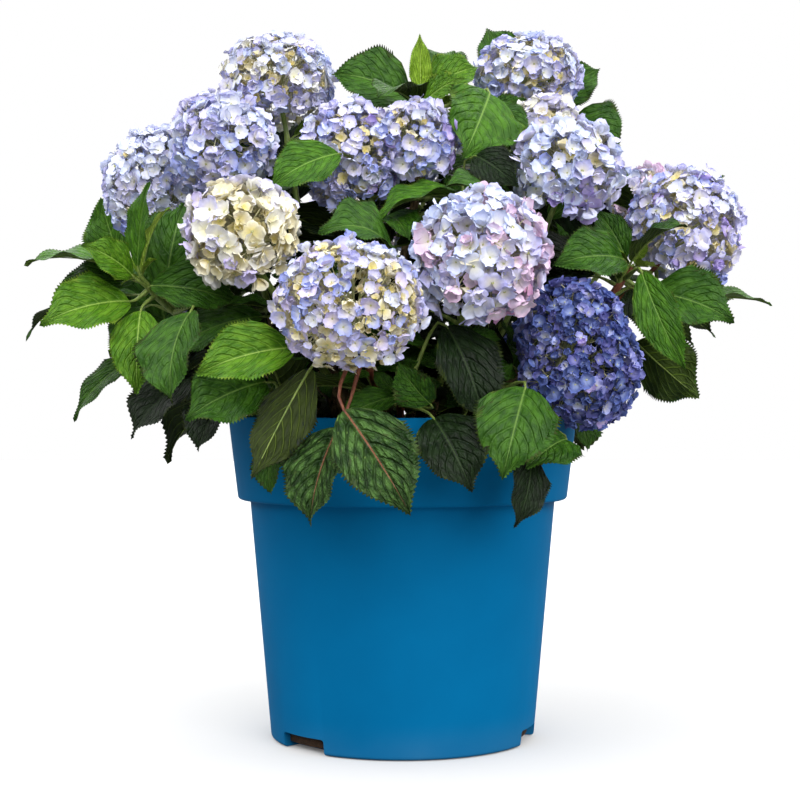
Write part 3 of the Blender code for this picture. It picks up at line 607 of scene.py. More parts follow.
# Every shoot, in millimetres: its head, how many pairs of leaves the rule gives it, how far its first pair is
# turned, the leaves that are placed one by one, and, for a side shoot, the cane that it grows from
# A placed leaf with the finish "dark" stands in the crown's shade, and that finish is painted shade
shoots = [
    bloom("upper_left", -103, 20, 529, 48, 41, 5, 60, (
        named(-100, 100, 440, -85, 96, 516, front, 1.2, "dark"),
    )),
    bloom("left", -200, 20, 443, 46, 50, 4, 10, (
        named(-236, 60, 380, -257, 66, 441, left, 1.2, "fresh", 0.0),
    )),
    bloom("left_inner", -138, -50, 466, 41, 41, 4, 35, sideOf="left"),
    bloom("left_back", -163, 88, 501, 34, 34, 4, 80, sideOf="upper_left"),
    bloom("cream", -118, -125, 391, 44, 43, 4, 50),
    newShoot("upper_middle", -26, -50, 460, ((-40, -50, 459, 41, 45), (11, -52, 469, 32, 36)),
             5, 75, (
        named(50, -72, 424, -22, -100, 404, above, 0.9, "fresh"),
        named(-50, -90, 450, -99, -110, 416, front, 1.05, "fresh"),
    )),
    bloom("lower_middle", -37, -180, 336, 54, 47, 3, 15, (
        named(-77, -165, 306, -146, -185, 286, front, 1.0, "bright"),
        named(-65, -165, 292, -105, -190, 213, under, 0.72, "dark", -0.05),
        named(-41, -190, 262, 6, -215, 190, front, 1.0, "quilted", 0.07),
        named(-45, -172, 250, -65, -195, 181, left, 1.15, "quilted", 0.07),
    )),
    bloom("middle_right", 57, -140, 373, 50, 51, 4, 40, (
        named(-8, -110, 380, -62, -140, 391, over, 1.35, "mid", 0.20),
        named(60, -50, 450, 95, -80, 418, front, 1.0, "dark"),
    )),
    bloom("upper_right", 104, 50, 541, 47, 34, 5, 30, (
        named(96, 110, 540, 74, 112, 596, front, 1.2),
        named(128, 95, 522, 171, 92, 556, front, 1.3),
        named(140, 70, 503, 183, 45, 477, front, 1.6, "mid", 0.15),
        named(72, 15, 494, 112, 0, 507, front, 0.8),
    )),
    bloom("right_inner", 117, 0, 486, 32, 30, 4, 70, (
        named(150, 30, 450, 191, 45, 458, front, 0.9),
    ), "upper_right"),
    bloom("right_middle", 127, -70, 445, 45, 41, 4, 20),
    bloom("right", 224, -20, 404, 47, 52, 4, 50, (
        named(215, -10, 350, 302, 10, 348, above, 0.6, "fresh", 0.04),
        named(218, 15, 358, 275, 25, 361, front, 0.9, "bright"),
        named(235, 40, 380, 284, 45, 393, front, 0.8),
        named(222, 40, 425, 268, 35, 456, front, 0.8),
    )),
    newShoot("deep_blue", 129, -104, 304, ((126, -100, 320, 42, 40), (132, -104, 292, 47, 45)),
             3, 25, (
        named(128, -52, 266, 150, -80, 209, right, 1.3),
        named(128, -45, 262, 196, -62, 259, right, 1.25),
    )),
    bloom("back_left", -155, 165, 425, 48, 44, 5, 15),
    bloom("back_middle", -35, 185, 440, 50, 46, 5, 65),
    bloom("back_right", 90, 180, 430, 48, 45, 5, 35, (
        named(80, 160, 318, 74, 175, 378, behind, 1.1, "dark"),
    )),
    bloom("right_back", 205, 110, 430, 46, 44, 5, 5, (
        named(150, 70, 395, 158, 60, 458, front, 1.2, "dark"),
    )),
    bloom("top_back", 20, 110, 480, 44, 40, 5, 40),
    bloom("left_low", -208, 125, 335, 43, 42, 4, 85, sideOf="back_left"),
    bloom("back_low_left", -85, 222, 325, 46, 44, 4, 55, sideOf="back_middle"),
    bloom("back_low_right", 135, 208, 312, 45, 43, 4, 20, sideOf="back_right"),
    leafy("leafy_left", -198, -85, 362, 1, 0, (
        named(-205, -95, 343, -266, -130, 324, front, 1.05, "bright"),
        named(-205, -60, 350, -300, -30, 317, above, 0.6, "mid", 0.14),
        named(-205, -70, 357, -268, -60, 338, left, 0.9),
        named(-198, -100, 368, -188, -117, 431, left, 0.65, "fresh", 0.03),
        named(-202, -102, 362, -235, -130, 383, front, 1.0, "bright"),
        named(-196, -102, 338, -196, -135, 277, front, 0.9, "bright"),
        named(-197, -70, 340, -224, -60, 298, left),
        named(-200, -60, 305, -260, -55, 252, left, 0.55),
        named(-156, -120, 334, -166, -155, 266, left, 1.2),
        named(-190, -90, 355, -122, -85, 342),
        named(-182, -68, 352, -170, -48, 424, front, 1.1),
        named(-190, -40, 320, -210, -32, 387, front, 1.3),
    )),
    leafy("leafy_top", 20, 10, 512, 2, 30, (
        named(15, 0, 510, 14, 0, 566, front, 0.5, "young", 0.02),
        named(20, 10, 520, 63, 12, 541, front, 1.3, "bright"),
        named(18, -8, 508, 50, -25, 525, front, 1.0, "bright"),
        named(6, 12, 515, -58, 0, 533, front, 1.35),
        named(70, -20, 503, 38, -56, 426, right, 1.35, "fresh", 0.03),
        named(62, -10, 500, 98, -40, 476),
    ), "upper_middle"),
    leafy("leafy_right", 178, -55, 372, 1, 15, (
        named(180, -60, 314, 223, -98, 270, under, 1.15, "mid", -0.05),
        named(181, -85, 366, 210, -115, 289, left, 0.6, "fresh"),
        named(192, -55, 352, 252, -85, 328, front, 1.2),
        named(170, -65, 377, 112, -100, 370, front, 1.1),
        named(175, -40, 380, 152, -30, 420, front, 0.9),
        named(178, -60, 355, 195, -95, 312, front, 1.1, "dark"),
    ), "right"),
    leafy("low_left", -100, -88, 275, 1, 70, (
        named(-100, -135, 282, -155, -165, 255, front, 1.3),
        named(-122, -118, 272, -148, -150, 232, left, 1.4, "dark"),
        named(-92, -142, 240, -94, -160, 201, left),
        named(-150, -80, 290, -205, -100, 240, left, 1.1, "dark"),
    )),
    leafy("low_front", -2, -125, 272, 1, 60, (
        named(22, -152, 256, 49, -180, 204, front, 1.3, "dark"),
        named(22, -125, 328, 60, -150, 255, front, 1.0, "dark"),
        named(-18, -85, 256, -66, -80, 288, front, 1.1, "dark"),
        named(20, -150, 266, -4, -165, 296, left, 1.2),
    )),
    leafy("low_right", 70, -112, 282, 1, 10, (
        named(88, -150, 278, 69, -185, 213, front, 1.2),
        named(120, -124, 240, 87, -165, 221, front, 1.3),
        named(50, -146, 264, 53, -172, 217, left, 0.9, "dark"),
        named(93, -148, 236, 81, -178, 185, right, 0.8, "dark"),
    )),
    leafy("low_back_left", -60, 130, 280, 3, 25, (
        named(-46, 150, 288, -26, 186, 226, behind, 1.1, "dark"),
        named(-78, 110, 292, -95, 150, 248, behind, 1.2, "dark"),
    )),
    leafy("low_back_right", 110, 90, 285, 3, 50),
]


def bezier(a, b, c, d, count=48):
    made = []
    for i in range(count + 1):
        t = i / count
        made.append(a * (1 - t) ** 3 + b * (3 * t * (1 - t) ** 2) + c * (3 * t * t * (1 - t)) + d * t ** 3)
    return made


def pathLength(path):
    return sum((q - p).length for p, q in zip(path, path[1:]))


# The point that far along the path, and the path's direction there
def along(path, distance):
    for p, q in zip(path, path[1:]):
        step = (q - p).length
        if distance <= step:
            return p + (q - p) * (distance / step), (q - p).normalized()
        distance -= step
    return path[-1].copy(), (path[-1] - path[-2]).normalized()


# The plain tapered tube that the solids have, for clash tests
def plainLimb(path, shares, start, end, radiusStart, radiusEnd, sides):
    curve = bpy.data.curves.new("limb", "CURVE")
    curve.dimensions = "3D"
    curve.bevel_depth = 1
    curve.bevel_resolution = (sides - 4) // 2
    curve.use_fill_caps = True
    line = curve.splines.new("POLY")
    line.points.add(len(shares) - 1)
    for place, share in zip(line.points, shares):
        place.co = (*along(path, start + (end - start) * share)[0], 1)
        place.radius = radiusStart + (radiusEnd - radiusStart) * share
    holder = newObject("limb", curve)
    graph = bpy.context.evaluated_depsgraph_get()
    mesh = bpy.data.meshes.new_from_object(holder.evaluated_get(graph))
    bpy.data.objects.remove(holder)
    shape = bmesh.new()
    shape.from_mesh(mesh)
    bmesh.ops.remove_doubles(shape, verts=shape.verts, dist=1e-5)
    bpy.data.meshes.remove(mesh)
    return shape


# The midrib's point and direction at that share of the blade. It bows to the upper side
def midrib(leaf, share):
    chord = leaf.tip - leaf.base
    rise = leaf.face - chord * (leaf.face.dot(chord) / chord.length_squared)
    rise = rise.normalized() * (leaf.sag * chord.length)
    point = leaf.base + chord * share + rise * (4 * share * (1 - share))
    return point, (chord + rise * (4 - 8 * share)).normalized()


# The leaf's sideways direction and its upper side, where its midrib runs that way
def across(leaf, direction):
    normal = leaf.face - direction * leaf.face.dot(direction)
    normal = normal.normalized() if normal.length > 0.05 else direction.orthogonal().normalized()
    return direction.cross(normal), normal


# Half the blade's width over its greatest: egg-shaped, with a drawn-out tip
def outline(share, widest):
    base, point = widest
    peak = base / (base + point)
    return share ** base * (1 - share) ** point / (peak ** base * (1 - peak) ** point)


# The leaf as the plain solid for clash tests, from that ring on: 0 takes the stalk with it, 2 only the blade
def leafTree(leaf, firstRing):
    rings = []
    direction = (leaf.base - leaf.root).normalized()
    side, normal = across(leaf, direction)
    r = plan["stalkRadius"]
    for point in (leaf.root, leaf.base):
        rings.append([point - side * r, point + normal * r, point + side * r, point - normal * r])
    for share in plan["bladeRows"]:
        point, direction = midrib(leaf, share)
        side, normal = across(leaf, direction)
        half = leaf.width * (leaf.tip - leaf.base).length * outline(share, plan["widest"]) * plan["shy"]
        lift = normal * (half * math.sin(plan["leafFold"]))
        wing = side * (half * math.cos(plan["leafFold"]))
        thick = normal * (plan["leafThick"] * plan["shyThick"] / 2)
        rings.append([point - wing + lift, point + thick, point + wing + lift, point - thick])
    shape = bmesh.new()
    made = [[shape.verts.new(p) for p in ring] for ring in rings[firstRing:]]
    for a, b in zip(made, made[1:]):
        for i in range(4):
            shape.faces.new((a[i], a[(i + 1) % 4], b[(i + 1) % 4], b[i]))
    point = shape.verts.new(leaf.tip)
    for i in range(4):
        shape.faces.new((made[-1][i], made[-1][(i + 1) % 4], point))
    shape.faces.new(made[0])
    tree = BVHTree.FromBMesh(shape)
    shape.free()
    return tree


# The unit direction at an angle about the vertical and an angle up
def bearing(azimuth, rise):
    return Vector((math.cos(azimuth) * math.cos(rise), math.sin(azimuth) * math.cos(rise), math.sin(rise)))


# The way a leaf's upper side looks there: out from the crown's middle and up, with some chance
def outwardFace(point, rng):
    face = (point - plan["crownMiddle"]).normalized() * plan["faceOut"] + up * plan["faceUp"]
    stray = Vector([rng.uniform(-reach, reach) for reach in plan["faceStray"]])
    return (face + stray).normalized()


def ranked(values, rank, rng):
    first, step, spread = values
    return first + step * rank + rng.uniform(-spread, spread)


# One leaf of a pair. rank counts the pairs down from the head: the lower lie flatter and are larger
def pairLeaf(root, azimuth, rank, rng):
    rise = math.radians(ranked(plan["pairRise"], rank, rng))
    droop = math.radians(ranked(plan["pairDroop"], rank, rng))
    length = plan["leafLength"] * ranked(plan["pairLength"], rank, rng)
    base = root + bearing(azimuth, rise) * plan["stalk"]
    tip = base + bearing(azimuth, rise - droop) * length
    face = outwardFace(base + (tip - base) / 2, rng)
    return Leaf(root, base, tip, plan["leafSag"], plan["leafWidth"] * rng.uniform(*plan["pairWidth"]), face, "")


# The leaf turned about the vertical and tilted up about its root, its blade shortened
def moved(leaf, turn, tilt, share):
    level = up.cross(leaf.tip - leaf.root).normalized()
    spin = Quaternion(up, math.radians(turn)) @ Quaternion(level, math.radians(-tilt))
    base = leaf.root + spin @ (leaf.base - leaf.root)
    return leaf._replace(base=base, tip=base + spin @ (leaf.tip - leaf.base) * share, face=spin @ leaf.face)


def withChanges(leaf, changes):
    return [leaf] + [moved(leaf, *change) for change in changes]


# A ball round the leaf, for a quick test
def middleAndReach(leaf):
    middle = (leaf.root + leaf.tip) / 2
    return middle, max((leaf.root - middle).length, (leaf.base - middle).length) + plan["leafMargin"]


# What already stands in the crown, for keeping each new leaf clear of it
class Space:
    def __init__(self):
        self.things = []

    def add(self, owner, tree, middle, reach):
        self.things.append((owner, tree, middle, reach))

    def takes(self, owner, leaf):
        middle, reach = middleAndReach(leaf)
        found = [t for t in self.things if (t[2] - middle).length < t[3] + reach]
        if not found:
            return True
        whole, blade = leafTree(leaf, 0), leafTree(leaf, 2)
        return not any((blade if name == owner else whole).overlap(tree) for name, tree, _, _ in found)

    def fit(self, owner, choices):
        for leaf in choices:
            if self.takes(owner, leaf):
                self.add(owner, leafTree(leaf, 0), *middleAndReach(leaf))
                return [leaf]
        return []

    def addShape(self, owner, shape):
        points = [v.co.copy() for v in shape.verts]
        middle = sum(points, Vector()) / len(points)
        self.add(owner, BVHTree.FromBMesh(shape), middle, max((p - middle).length for p in points))
        shape.free()


# One lobe of a flower head as the solids have it
def plainLobe(ball, rng):
    shape = bmesh.new()
    bmesh.ops.create_icosphere(shape, subdivisions=2, radius=1)
    for vert in shape.verts:
        out = vert.co * (1 + rng.uniform(-0.4, 1) * plan["floretBump"])
        vert.co = Vector((ball.x + out.x * ball.wide, ball.y + out.y * ball.wide, ball.z + out.z * ball.high))
    return shape


def shootSeed(shoot):
    return sum(map(ord, shoot.name))


# The way a head looks: out from the crown's middle, and up
def facing(shoot):
    out = (shoot.head - plan["crownMiddle"]).normalized()
    return (out * plan["headOut"] + up * plan["headUp"]).normalized()


# A cane's path, from its foot in the mix to its head. Low heads hang out wider
def canePath(shoot):
    head = shoot.head
    low = min(1.0, max(0.0, (plan["highHead"] - head.z) / (plan["highHead"] - plan["lowHead"])))
    spread = plan["clumpSpread"] + (plan["lowSpread"] - plan["clumpSpread"]) * low
    foot = Vector((head.x * spread, head.y * spread, plan["soilTop"] + gap))
    reach = (head - foot).length
    start = (up + plan["caneLean"] * Vector((head.x, head.y, 0)).normalized()).normalized()
    bend = facing(shoot) * reach * plan["bend"]
    return bezier(foot, foot + start * reach * plan["caneStart"], head - bend, head)


def sidePath(shoot, parentPath, parentEnd):
    head, bend = shoot.head, plan["bend"]
    start, direction = along(parentPath, parentEnd * plan["boughFrom"])
    reach = (head - start).length
    leave = (direction * plan["caneLean"] + (head - start).normalized()).normalized()
    return bezier(start, start + leave * reach * bend, head - facing(shoot) * reach * bend, head)


def firstPair(shoot):
    return (shoot.lobes[0].high if shoot.lobes else plan["bareTop"]) + plan["topClearance"]


# How far from its head, along its path, a shoot carries leaves
def leafyReach(shoot, path):
    wanted = firstPair(shoot) + plan["pairSpacing"] * max(plan["leastPairs"], shoot.pairs - 1)
    return min(wanted, plan["leafyShare"] * pathLength(path))


# Where a shoot's twig ends: inside its head, or at its tip
def twigEnd(shoot, path):
    return pathLength(path) - (plan["twigInHead"] * shoot.lobes[0].high if shoot.lobes else 0)


# A leaf that is placed one by one: the places where its stalk may leave the twig, the best first, then changes
def namedLeaves(shoot, path, row):
    length, count = pathLength(path), plan["namedRoots"]
    first, last = firstPair(shoot) * plan["namedFrom"], leafyReach(shoot, path)
    roots = [along(path, length - first - (last - first) * i / (count - 1))[0] for i in range(count)]
    roots.sort(key=lambda root: abs((row.base - root).length - plan["stalk"]))
    width = plan["leafWidth"] * row.share
    made = [Leaf(root, row.base, row.tip, row.sag, width, row.face, row.look) for root in roots]
    return made + withChanges(made[0], namedChanges)[1:]


# Where that pair of leaves leaves the twig, and the twig's direction there
def pairRoot(shoot, path, rank):
    first, last = firstPair(shoot), leafyReach(shoot, path) - plan["lastPair"]
    step = min(plan["pairSpacing"], (last - first) / max(1, shoot.pairs - 1))
    return along(path, pathLength(path) - first - step * rank)


def pairLeaves(shoot, path, rank, half, rng):
    root, _ = pairRoot(shoot, path, rank)
    stray = rng.uniform(-plan["pairTurn"], plan["pairTurn"])
    azimuth = math.radians(shoot.turn + 90 * rank + 180 * half + stray)
    leaf = pairLeaf(root, azimuth, rank, rng)
    return withChanges(leaf, pairChanges)


# Each shoot's leaves: the named ones first, then pairs, each turned a quarter from the pair above it
def growLeaves(paths, space):
    leaves = {shoot.name: [] for shoot in shoots}
    for shoot in shoots:
        for row in shoot.named:
            leaves[shoot.name] += space.fit(shoot.name, namedLeaves(shoot, paths[shoot.name], row))
    chances = {shoot.name: random.Random(shootSeed(shoot)) for shoot in shoots}
    for rank in range(max(shoot.pairs for shoot in shoots)):
        for shoot in [s for s in shoots if s.pairs > rank]:
            for half in range(2):
                choices = pairLeaves(shoot, paths[shoot.name], rank, half, chances[shoot.name])
                leaves[shoot.name] += space.fit(shoot.name, choices)
    return leaves


# Each limb's path with how far it is bare, each shoot's leaves, and the space that they take up
def growPlant():
    space = Space()
    for name in ("pot", "potting_mix"):
        shape = bmesh.new()
        shape.from_mesh(frame["nodes"][name].data)
        space.addShape("pot", shape)
    limbs = {}
    top = plan["caneTopRadius"]
    for shoot in sorted(shoots, key=lambda s: s.sideOf is not None):  # a bough grows from its cane's path
        path = sidePath(shoot, *limbs[shoot.sideOf]) if shoot.sideOf else canePath(shoot)
        start = 0 if shoot.sideOf else -plan["footDepth"]
        foot = top * plan["boughFoot"] if shoot.sideOf else plan["caneFootRadius"]
        end = pathLength(path) - leafyReach(shoot, path)
        space.addShape("limb", plainLimb(path, plan["caneRings"], start, end, foot, top, plan["caneSides"]))
        limbs[shoot.name] = path, end
    for shoot in shoots:
        path, end = limbs[shoot.name]
        rng = random.Random(shootSeed(shoot))
        twig = plainLimb(path, plan["twigRings"], end + gap, twigEnd(shoot, path), top * plan["twigFoot"],
                         plan["twigTopRadius"], plan["twigSides"])
        space.addShape(shoot.name, twig)
        for ball in shoot.lobes:
            space.addShape(shoot.name, plainLobe(ball, rng))
    leaves = growLeaves({name: path for name, (path, _) in limbs.items()}, space)
    x, z = plan["bareCorner"]
    for name, grown in leaves.items():  # a leaf of the rule that would hang out low at the right is left off
        leaves[name] = [leaf for leaf in grown if leaf.look or leaf.tip.x < x or leaf.tip.z > z]
    print(f"plant grown: {sum(map(len, leaves.values()))} leaves")
    return limbs, leaves, space


limbs, leaves, space = growPlant()

smallLeaves = {"size": 0.040, "width": 0.30, "rise": (52, -14, 14), "droop": 34, "sag": 0.09, "stalk": 0.22,
               "changes": 8, "tuft": 8, "tuftLean": (22, 13, 8), "tuftSize": 0.026, "tuftStalk": 0.003,
               "tuftWidth": 0.25, "tuftSag": 0.08, "youngAbove": 0.3, "seed": 21}


def insideLobe(point, ball, share=1.0):
    x, y, z = point.x - ball.x, point.y - ball.y, point.z - ball.z
    return (x * x + y * y) / ball.wide ** 2 + z * z / ball.high ** 2 < share * share


# Small leaves at the joints of a shoot, turned between its pairs
def jointLeaves(shoot, path, look, rng):
    made = []
    for rank in range(max(2, shoot.pairs + 1)):
        root, _ = pairRoot(shoot, path, rank)
        for half in range(2):
            azimuth = math.radians(shoot.turn + 90 * rank + 180 * half + 45 * rng.choice((-1, 1)))
            length = look["size"] * rng.uniform(0.6, 1.25)
            rise = math.radians(ranked(look["rise"], rank, rng))
            base = root + bearing(azimuth, rise) * length * look["stalk"]
            tip = base + bearing(azimuth, rise - math.radians(look["droop"])) * length
            face = outwardFace(base, rng)
            width = look["width"] * rng.uniform(0.8, 1.1)
            leaf = Leaf(root, base, tip, look["sag"], width, face, "small")
            made.append(withChanges(leaf, pairChanges[:look["changes"]]))
    return made


# The tuft of young leaves where a leafy shoot ends
def tuftLeaves(shoot, path, look, rng):
    end, direction = along(path, pathLength(path))
    made = []
    for k in range(look["tuft"]):
        turn = math.radians(shoot.turn + 60 * k + 90 * (k // 2))
        lean = math.radians(ranked(look["tuftLean"], k // 2, rng))
        side = (Quaternion(direction, turn) @ direction.orthogonal()).normalized()
        way = direction * math.cos(lean) + side * math.sin(lean)
        length = look["tuftSize"] * (0.75 + 0.35 * (k // 2)) * rng.uniform(0.8, 1.2)
        base = end + way * look["tuftStalk"]
        tip = base + (way + side * 0.35).normalized() * length
        face = (direction - side * 0.6).normalized()
        finish = "young" if end.z > look["youngAbove"] else "mid"
        leaf = Leaf(end, base, tip, look["tuftSag"], look["tuftWidth"], face, finish)
        made.append(withChanges(leaf, pairChanges))
    return made


def addSmallLeaves(look):
    rng = random.Random(look["seed"])
    count = 0
    for shoot in shoots:
        path, _ = limbs[shoot.name]
        leaves[shoot.name] = [leaf for leaf in leaves[shoot.name]
                              if not any(insideLobe(leaf.tip, ball) for ball in shoot.lobes)]
        wanted = jointLeaves(shoot, path, look, rng)
        if not shoot.lobes:
            wanted += tuftLeaves(shoot, path, look, rng)
        for choices in wanted:
            grown = space.fit(shoot.name, choices)
            leaves[shoot.name] += grown
            count += len(grown)
    print(f"{count} small leaves added")


addSmallLeaves(smallLeaves)


# The shoots of one side of the plant
def sideShoots(side):
    return [s for s in shoots if (s.head.x < 0) == ("Left" in side) and (s.head.y < 0) == ("Front" in side)]


def nodeNames(chosen):
    return ["shoot_" + s.name for s in chosen]


# The place in a lobe that a unit direction stands for, from the lobe's middle
def stretched(way, ball):
    return Vector((way.x * ball.wide, way.y * ball.wide, way.z * ball.high))


sides = ("FrontLeft", "FrontRight", "BackLeft", "BackRight")
stemLook = {"caneStep": 0.004, "caneSides": 10, "firstJoint": (0.4, 1), "jointSwelling": 0.0011,
            "jointWidth": 0.003, "jointSpacing": 0.036, "footSwelling": 0.0016, "footWidth": 0.006,
            "caneRelief": 0.0006, "caneGrain": 160.0, "caneOverlap": 0.002, "rootDepth": 0.006, "boughFoot": 1.08,
            "twigFoot": 0.95, "twigSteps": 16, "twigSwelling": 0.0008, "twigJoint": 0.005, "stalkSides": 6,
            "stalkFoot": 0.0017, "stalkTop": 0.0011, "stalkFlare": 0.5, "flareFade": 1.4, "leastSize": 0.45,
            "stalkRelief": 0.00025, "stalkGrain": 260.0, "midribEnd": 0.00028, "midribDrop": 0.0003,
            "midribShares": (0.06, 0.2, 0.36, 0.52, 0.68, 0.82), "raysPerLobe": 16, "rayRadius": 0.00075,
            "rayReach": 0.72, "rayTurn": 2.4, "rayTilt": (-35, 80), "rayTaper": 0.16, "steps": 5, "caneSeed": 3,
            "stemSeed": 8}


# Tubes along lines of points that carry their own thickness, roughened along the surface
def tubeTree(paints):
    wires = newTree("tubesOnLines", Sides=8, Relief=0.0, Grain=90.0)
    lines = wires.add("GeometryNodeMeshToCurve", wires.given["Geometry"])
    ring = wires.add("GeometryNodeCurvePrimitiveCircle", wires.given["Sides"], 1.0)
    tube = wires.add("GeometryNodeCurveToMesh", lines, ring, wires.read("thick"), True)
    place = wires.add("GeometryNodeInputPosition")
    coarse = wires.grain(place, wires.given["Grain"], 4.0)
    fine = wires.grain(place * (1, 1, 0.25), 900.0, 2.0, 0.5)
    rough = coarse - 0.5 + (fine * 0.5 - 0.25)
    push = wires.add("GeometryNodeInputNormal") * (rough * wires.given["Relief"])
    tube = wires.add("GeometryNodeSetPosition", tube, None, None, push)
    tube = wires.add("GeometryNodeRealizeInstances", wires.add("GeometryNodeSetShadeSmooth", tube))
    return setPaints(wires, tube, wires.read("finish"), paints)


class Strands:  # lines of points with a thickness, gathered for one mesh
    def __init__(self):
        self.places, self.lines, self.thick, self.finish = [], [], [], []

    def add(self, points, radii, finish=0):
        start = len(self.places)
        self.places += [tuple(p) for p in points]
        self.lines += [(start + i, start + i + 1) for i in range(len(points) - 1)]
        self.thick += [float(r) for r in radii]
        self.finish += [float(finish)] * len(points)

    def tubes(self, name, paints, sides, relief, grain):
        lines = carrier(name, self.places, self.lines, thick=self.thick, finish=self.finish)
        return grow(lines, tubeTree(paints), Sides=sides, Relief=relief, Grain=grain)


def barkPaint():
    wires = newPaint("caneBark", Specular_IOR_Level=0.3)
    place = wires.add("ShaderNodeTexCoord", output="Object")
    fissures = wires.grain(place * (420, 420, 38), 1.0, 5.0, 0.65)
    cork = wires.ramp(wires.add("ShaderNodeTexVoronoi", place, 260.0, feature="F1"), 0.26, 0.16) * 0.5
    wide = wires.patch(26.0, 3.0)
    tone = wires.mix(wires.ramp(fissures, 0.34, 0.66), colour(62, 46, 32), colour(146, 122, 88))
    tone = wires.mix(cork, wires.mix(wide * 0.35, tone, colour(96, 98, 56)), colour(176, 158, 126))
    relief = wires.bump(fissures + cork, 0.7, 0.0008)
    return wires.finish(Base_Color=tone, Roughness=wide * 0.15 + 0.75, Normal=relief)


def stemPaint(name, low, high, fleck):
    wires = newPaint(name, Specular_IOR_Level=0.4)
    place = wires.add("ShaderNodeTexCoord", output="Object")
    streak = wires.grain(place * (500, 500, 60), 1.0, 3.0)
    flecks = wires.ramp(wires.add("ShaderNodeTexVoronoi", place, 700.0, feature="F1"), 0.30, 0.18)
    tone = wires.mix(wires.ramp(streak, 0.3, 0.7), colour(*low), colour(*high))
    tone = wires.mix(flecks * 0.55, tone, colour(*fleck))
    return wires.finish(Base_Color=tone, Roughness=streak * 0.2 + 0.4, Normal=wires.bump(streak, 0.35, 0.0004))


# A swelling that fades with the distance from its middle
def swelling(size, distance, width):
    return size * math.exp(-(distance / width) ** 2)


# A bare cane or bough, thicker at its foot and at its joints
def caneStrand(strands, path, start, end, footRadius, topRadius, look, rng):
    count = max(8, int((end - start) / look["caneStep"]))
    spacing = look["jointSpacing"]
    joint = rng.uniform(*look["firstJoint"]) * spacing
    points, radii = [], []
    for k in range(count + 1):
        reach = start + (end - start) * k / count
        nearest = spacing / 2 - abs((reach - joint) % spacing - spacing / 2)
        swell = swelling(look["jointSwelling"], nearest, look["jointWidth"])
        swell += swelling(look["footSwelling"], reach - start, look["footWidth"])
        points.append(along(path, max(reach, 0))[0] + up * min(reach, 0))
        radii.append(footRadius + (topRadius - footRadius) * k / count + swell)
    strands.add(points, radii)


def buildCanes(look):
    rng = random.Random(look["caneSeed"])
    strands = Strands()
    top = plan["caneTopRadius"]
    for shoot in shoots:
        path, end = limbs[shoot.name]
        foot = top * look["boughFoot"] if shoot.sideOf else plan["caneFootRadius"]
        start = 0 if shoot.sideOf else -look["rootDepth"]
        caneStrand(strands, path, start, end + look["caneOverlap"], foot, top, look, rng)
    canes = strands.tubes("canesAndBoughs", [barkPaint()], look["caneSides"], look["caneRelief"],
                          look["caneGrain"])
    finishPiece(canes, [("bough_" if s.sideOf else "cane_") + s.name for s in shoots])


buildCanes(stemLook)


# A leaf's stalk, that runs on beneath the blade as its midrib
def stalkStrand(strands, leaf, look, finish):
    least = look["leastSize"]
    size = min(1, least + (1 - least) * (leaf.tip - leaf.base).length / plan["leafLength"])
    _, ahead = midrib(leaf, 0)
    reach = (leaf.base - leaf.root).length
    out = (leaf.base - leaf.root).normalized()
    steps, foot, top = look["steps"], look["stalkFoot"], look["stalkTop"]
    points = bezier(leaf.root, leaf.root + out * reach * 0.4, leaf.base - ahead * reach * 0.35, leaf.base, steps)
    radii = []
    for k in range(steps + 1):
        flare = look["stalkFlare"] * max(0, 1 - k * look["flareFade"] / steps)
        radii.append((foot * (1 + flare) + (top - foot) * k / steps) * size)
    for share in look["midribShares"]:
        point, ahead = midrib(leaf, share)
        _, normal = across(leaf, ahead)
        thick = top + (look["midribEnd"] - top) * (share / look["midribShares"][-1]) ** 0.7
        points.append(point - normal * (look["midribDrop"] + 0.55 * thick * size))
        radii.append(thick * size)
    strands.add(points, radii, finish)


# The twig of a shoot, from the cane to its head, a little thicker where leaves leave it
def twigStrand(strands, shoot, path, end, look):
    stop = twigEnd(shoot, path)
    count, foot, top = look["twigSteps"], plan["caneTopRadius"], plan["twigTopRadius"]
    points = [along(path, end + (stop - end) * k / count)[0] for k in range(count + 1)]
    radii = [foot * look["twigFoot"] + (top - foot) * k / count for k in range(count + 1)]
    for rank in range(shoot.pairs):
        root, _ = pairRoot(shoot, path, rank)
        for k, point in enumerate(points):
            radii[k] += swelling(look["twigSwelling"], (point - root).length, look["twigJoint"])
    reddish = shoot.name in ("lower_middle", "low_front", "right", "leafy_right")
    strands.add(points, radii, int(reddish))
    return points[-1]


# The ribs inside a flower head, that fan out from the twig's end
def rayStrands(strands, shoot, fork, look, rng):
    for ball in shoot.lobes:
        centre = Vector((ball.x, ball.y, ball.z))
        for k in range(look["raysPerLobe"]):
            way = bearing(look["rayTurn"] * k, math.radians(rng.uniform(*look["rayTilt"])))
            way = up.rotation_difference(facing(shoot)) @ way
            far = centre + stretched(way, ball) * look["rayReach"]
            line = bezier(fork, fork.lerp(centre, 0.45), centre.lerp(far, 0.35), far, look["steps"])
            strands.add(line, [look["rayRadius"] * (1.5 - look["rayTaper"] * j) for j in range(len(line))], 2)


def buildStems(look):
    rng = random.Random(look["stemSeed"])
    paints = [stemPaint("greenStem", (92, 116, 48), (140, 160, 78), (98, 60, 52)),
              stemPaint("reddishStem", (96, 46, 36), (136, 82, 56), (76, 30, 30)),
              stemPaint("paleRay", (140, 150, 92), (186, 188, 132), (150, 120, 120))]
    strands = Strands()
    for shoot in shoots:
        fork = twigStrand(strands, shoot, *limbs[shoot.name], look)
        for leaf in leaves[shoot.name]:
            stalkStrand(strands, leaf, look, int(leaf.look == "quilted"))
        rayStrands(strands, shoot, fork, look, rng)
    stems = strands.tubes("stemsAndStalks", paints, look["stalkSides"], look["stalkRelief"], look["stalkGrain"])
    finishPiece(stems, nodeNames(shoots))


buildStems(stemLook)

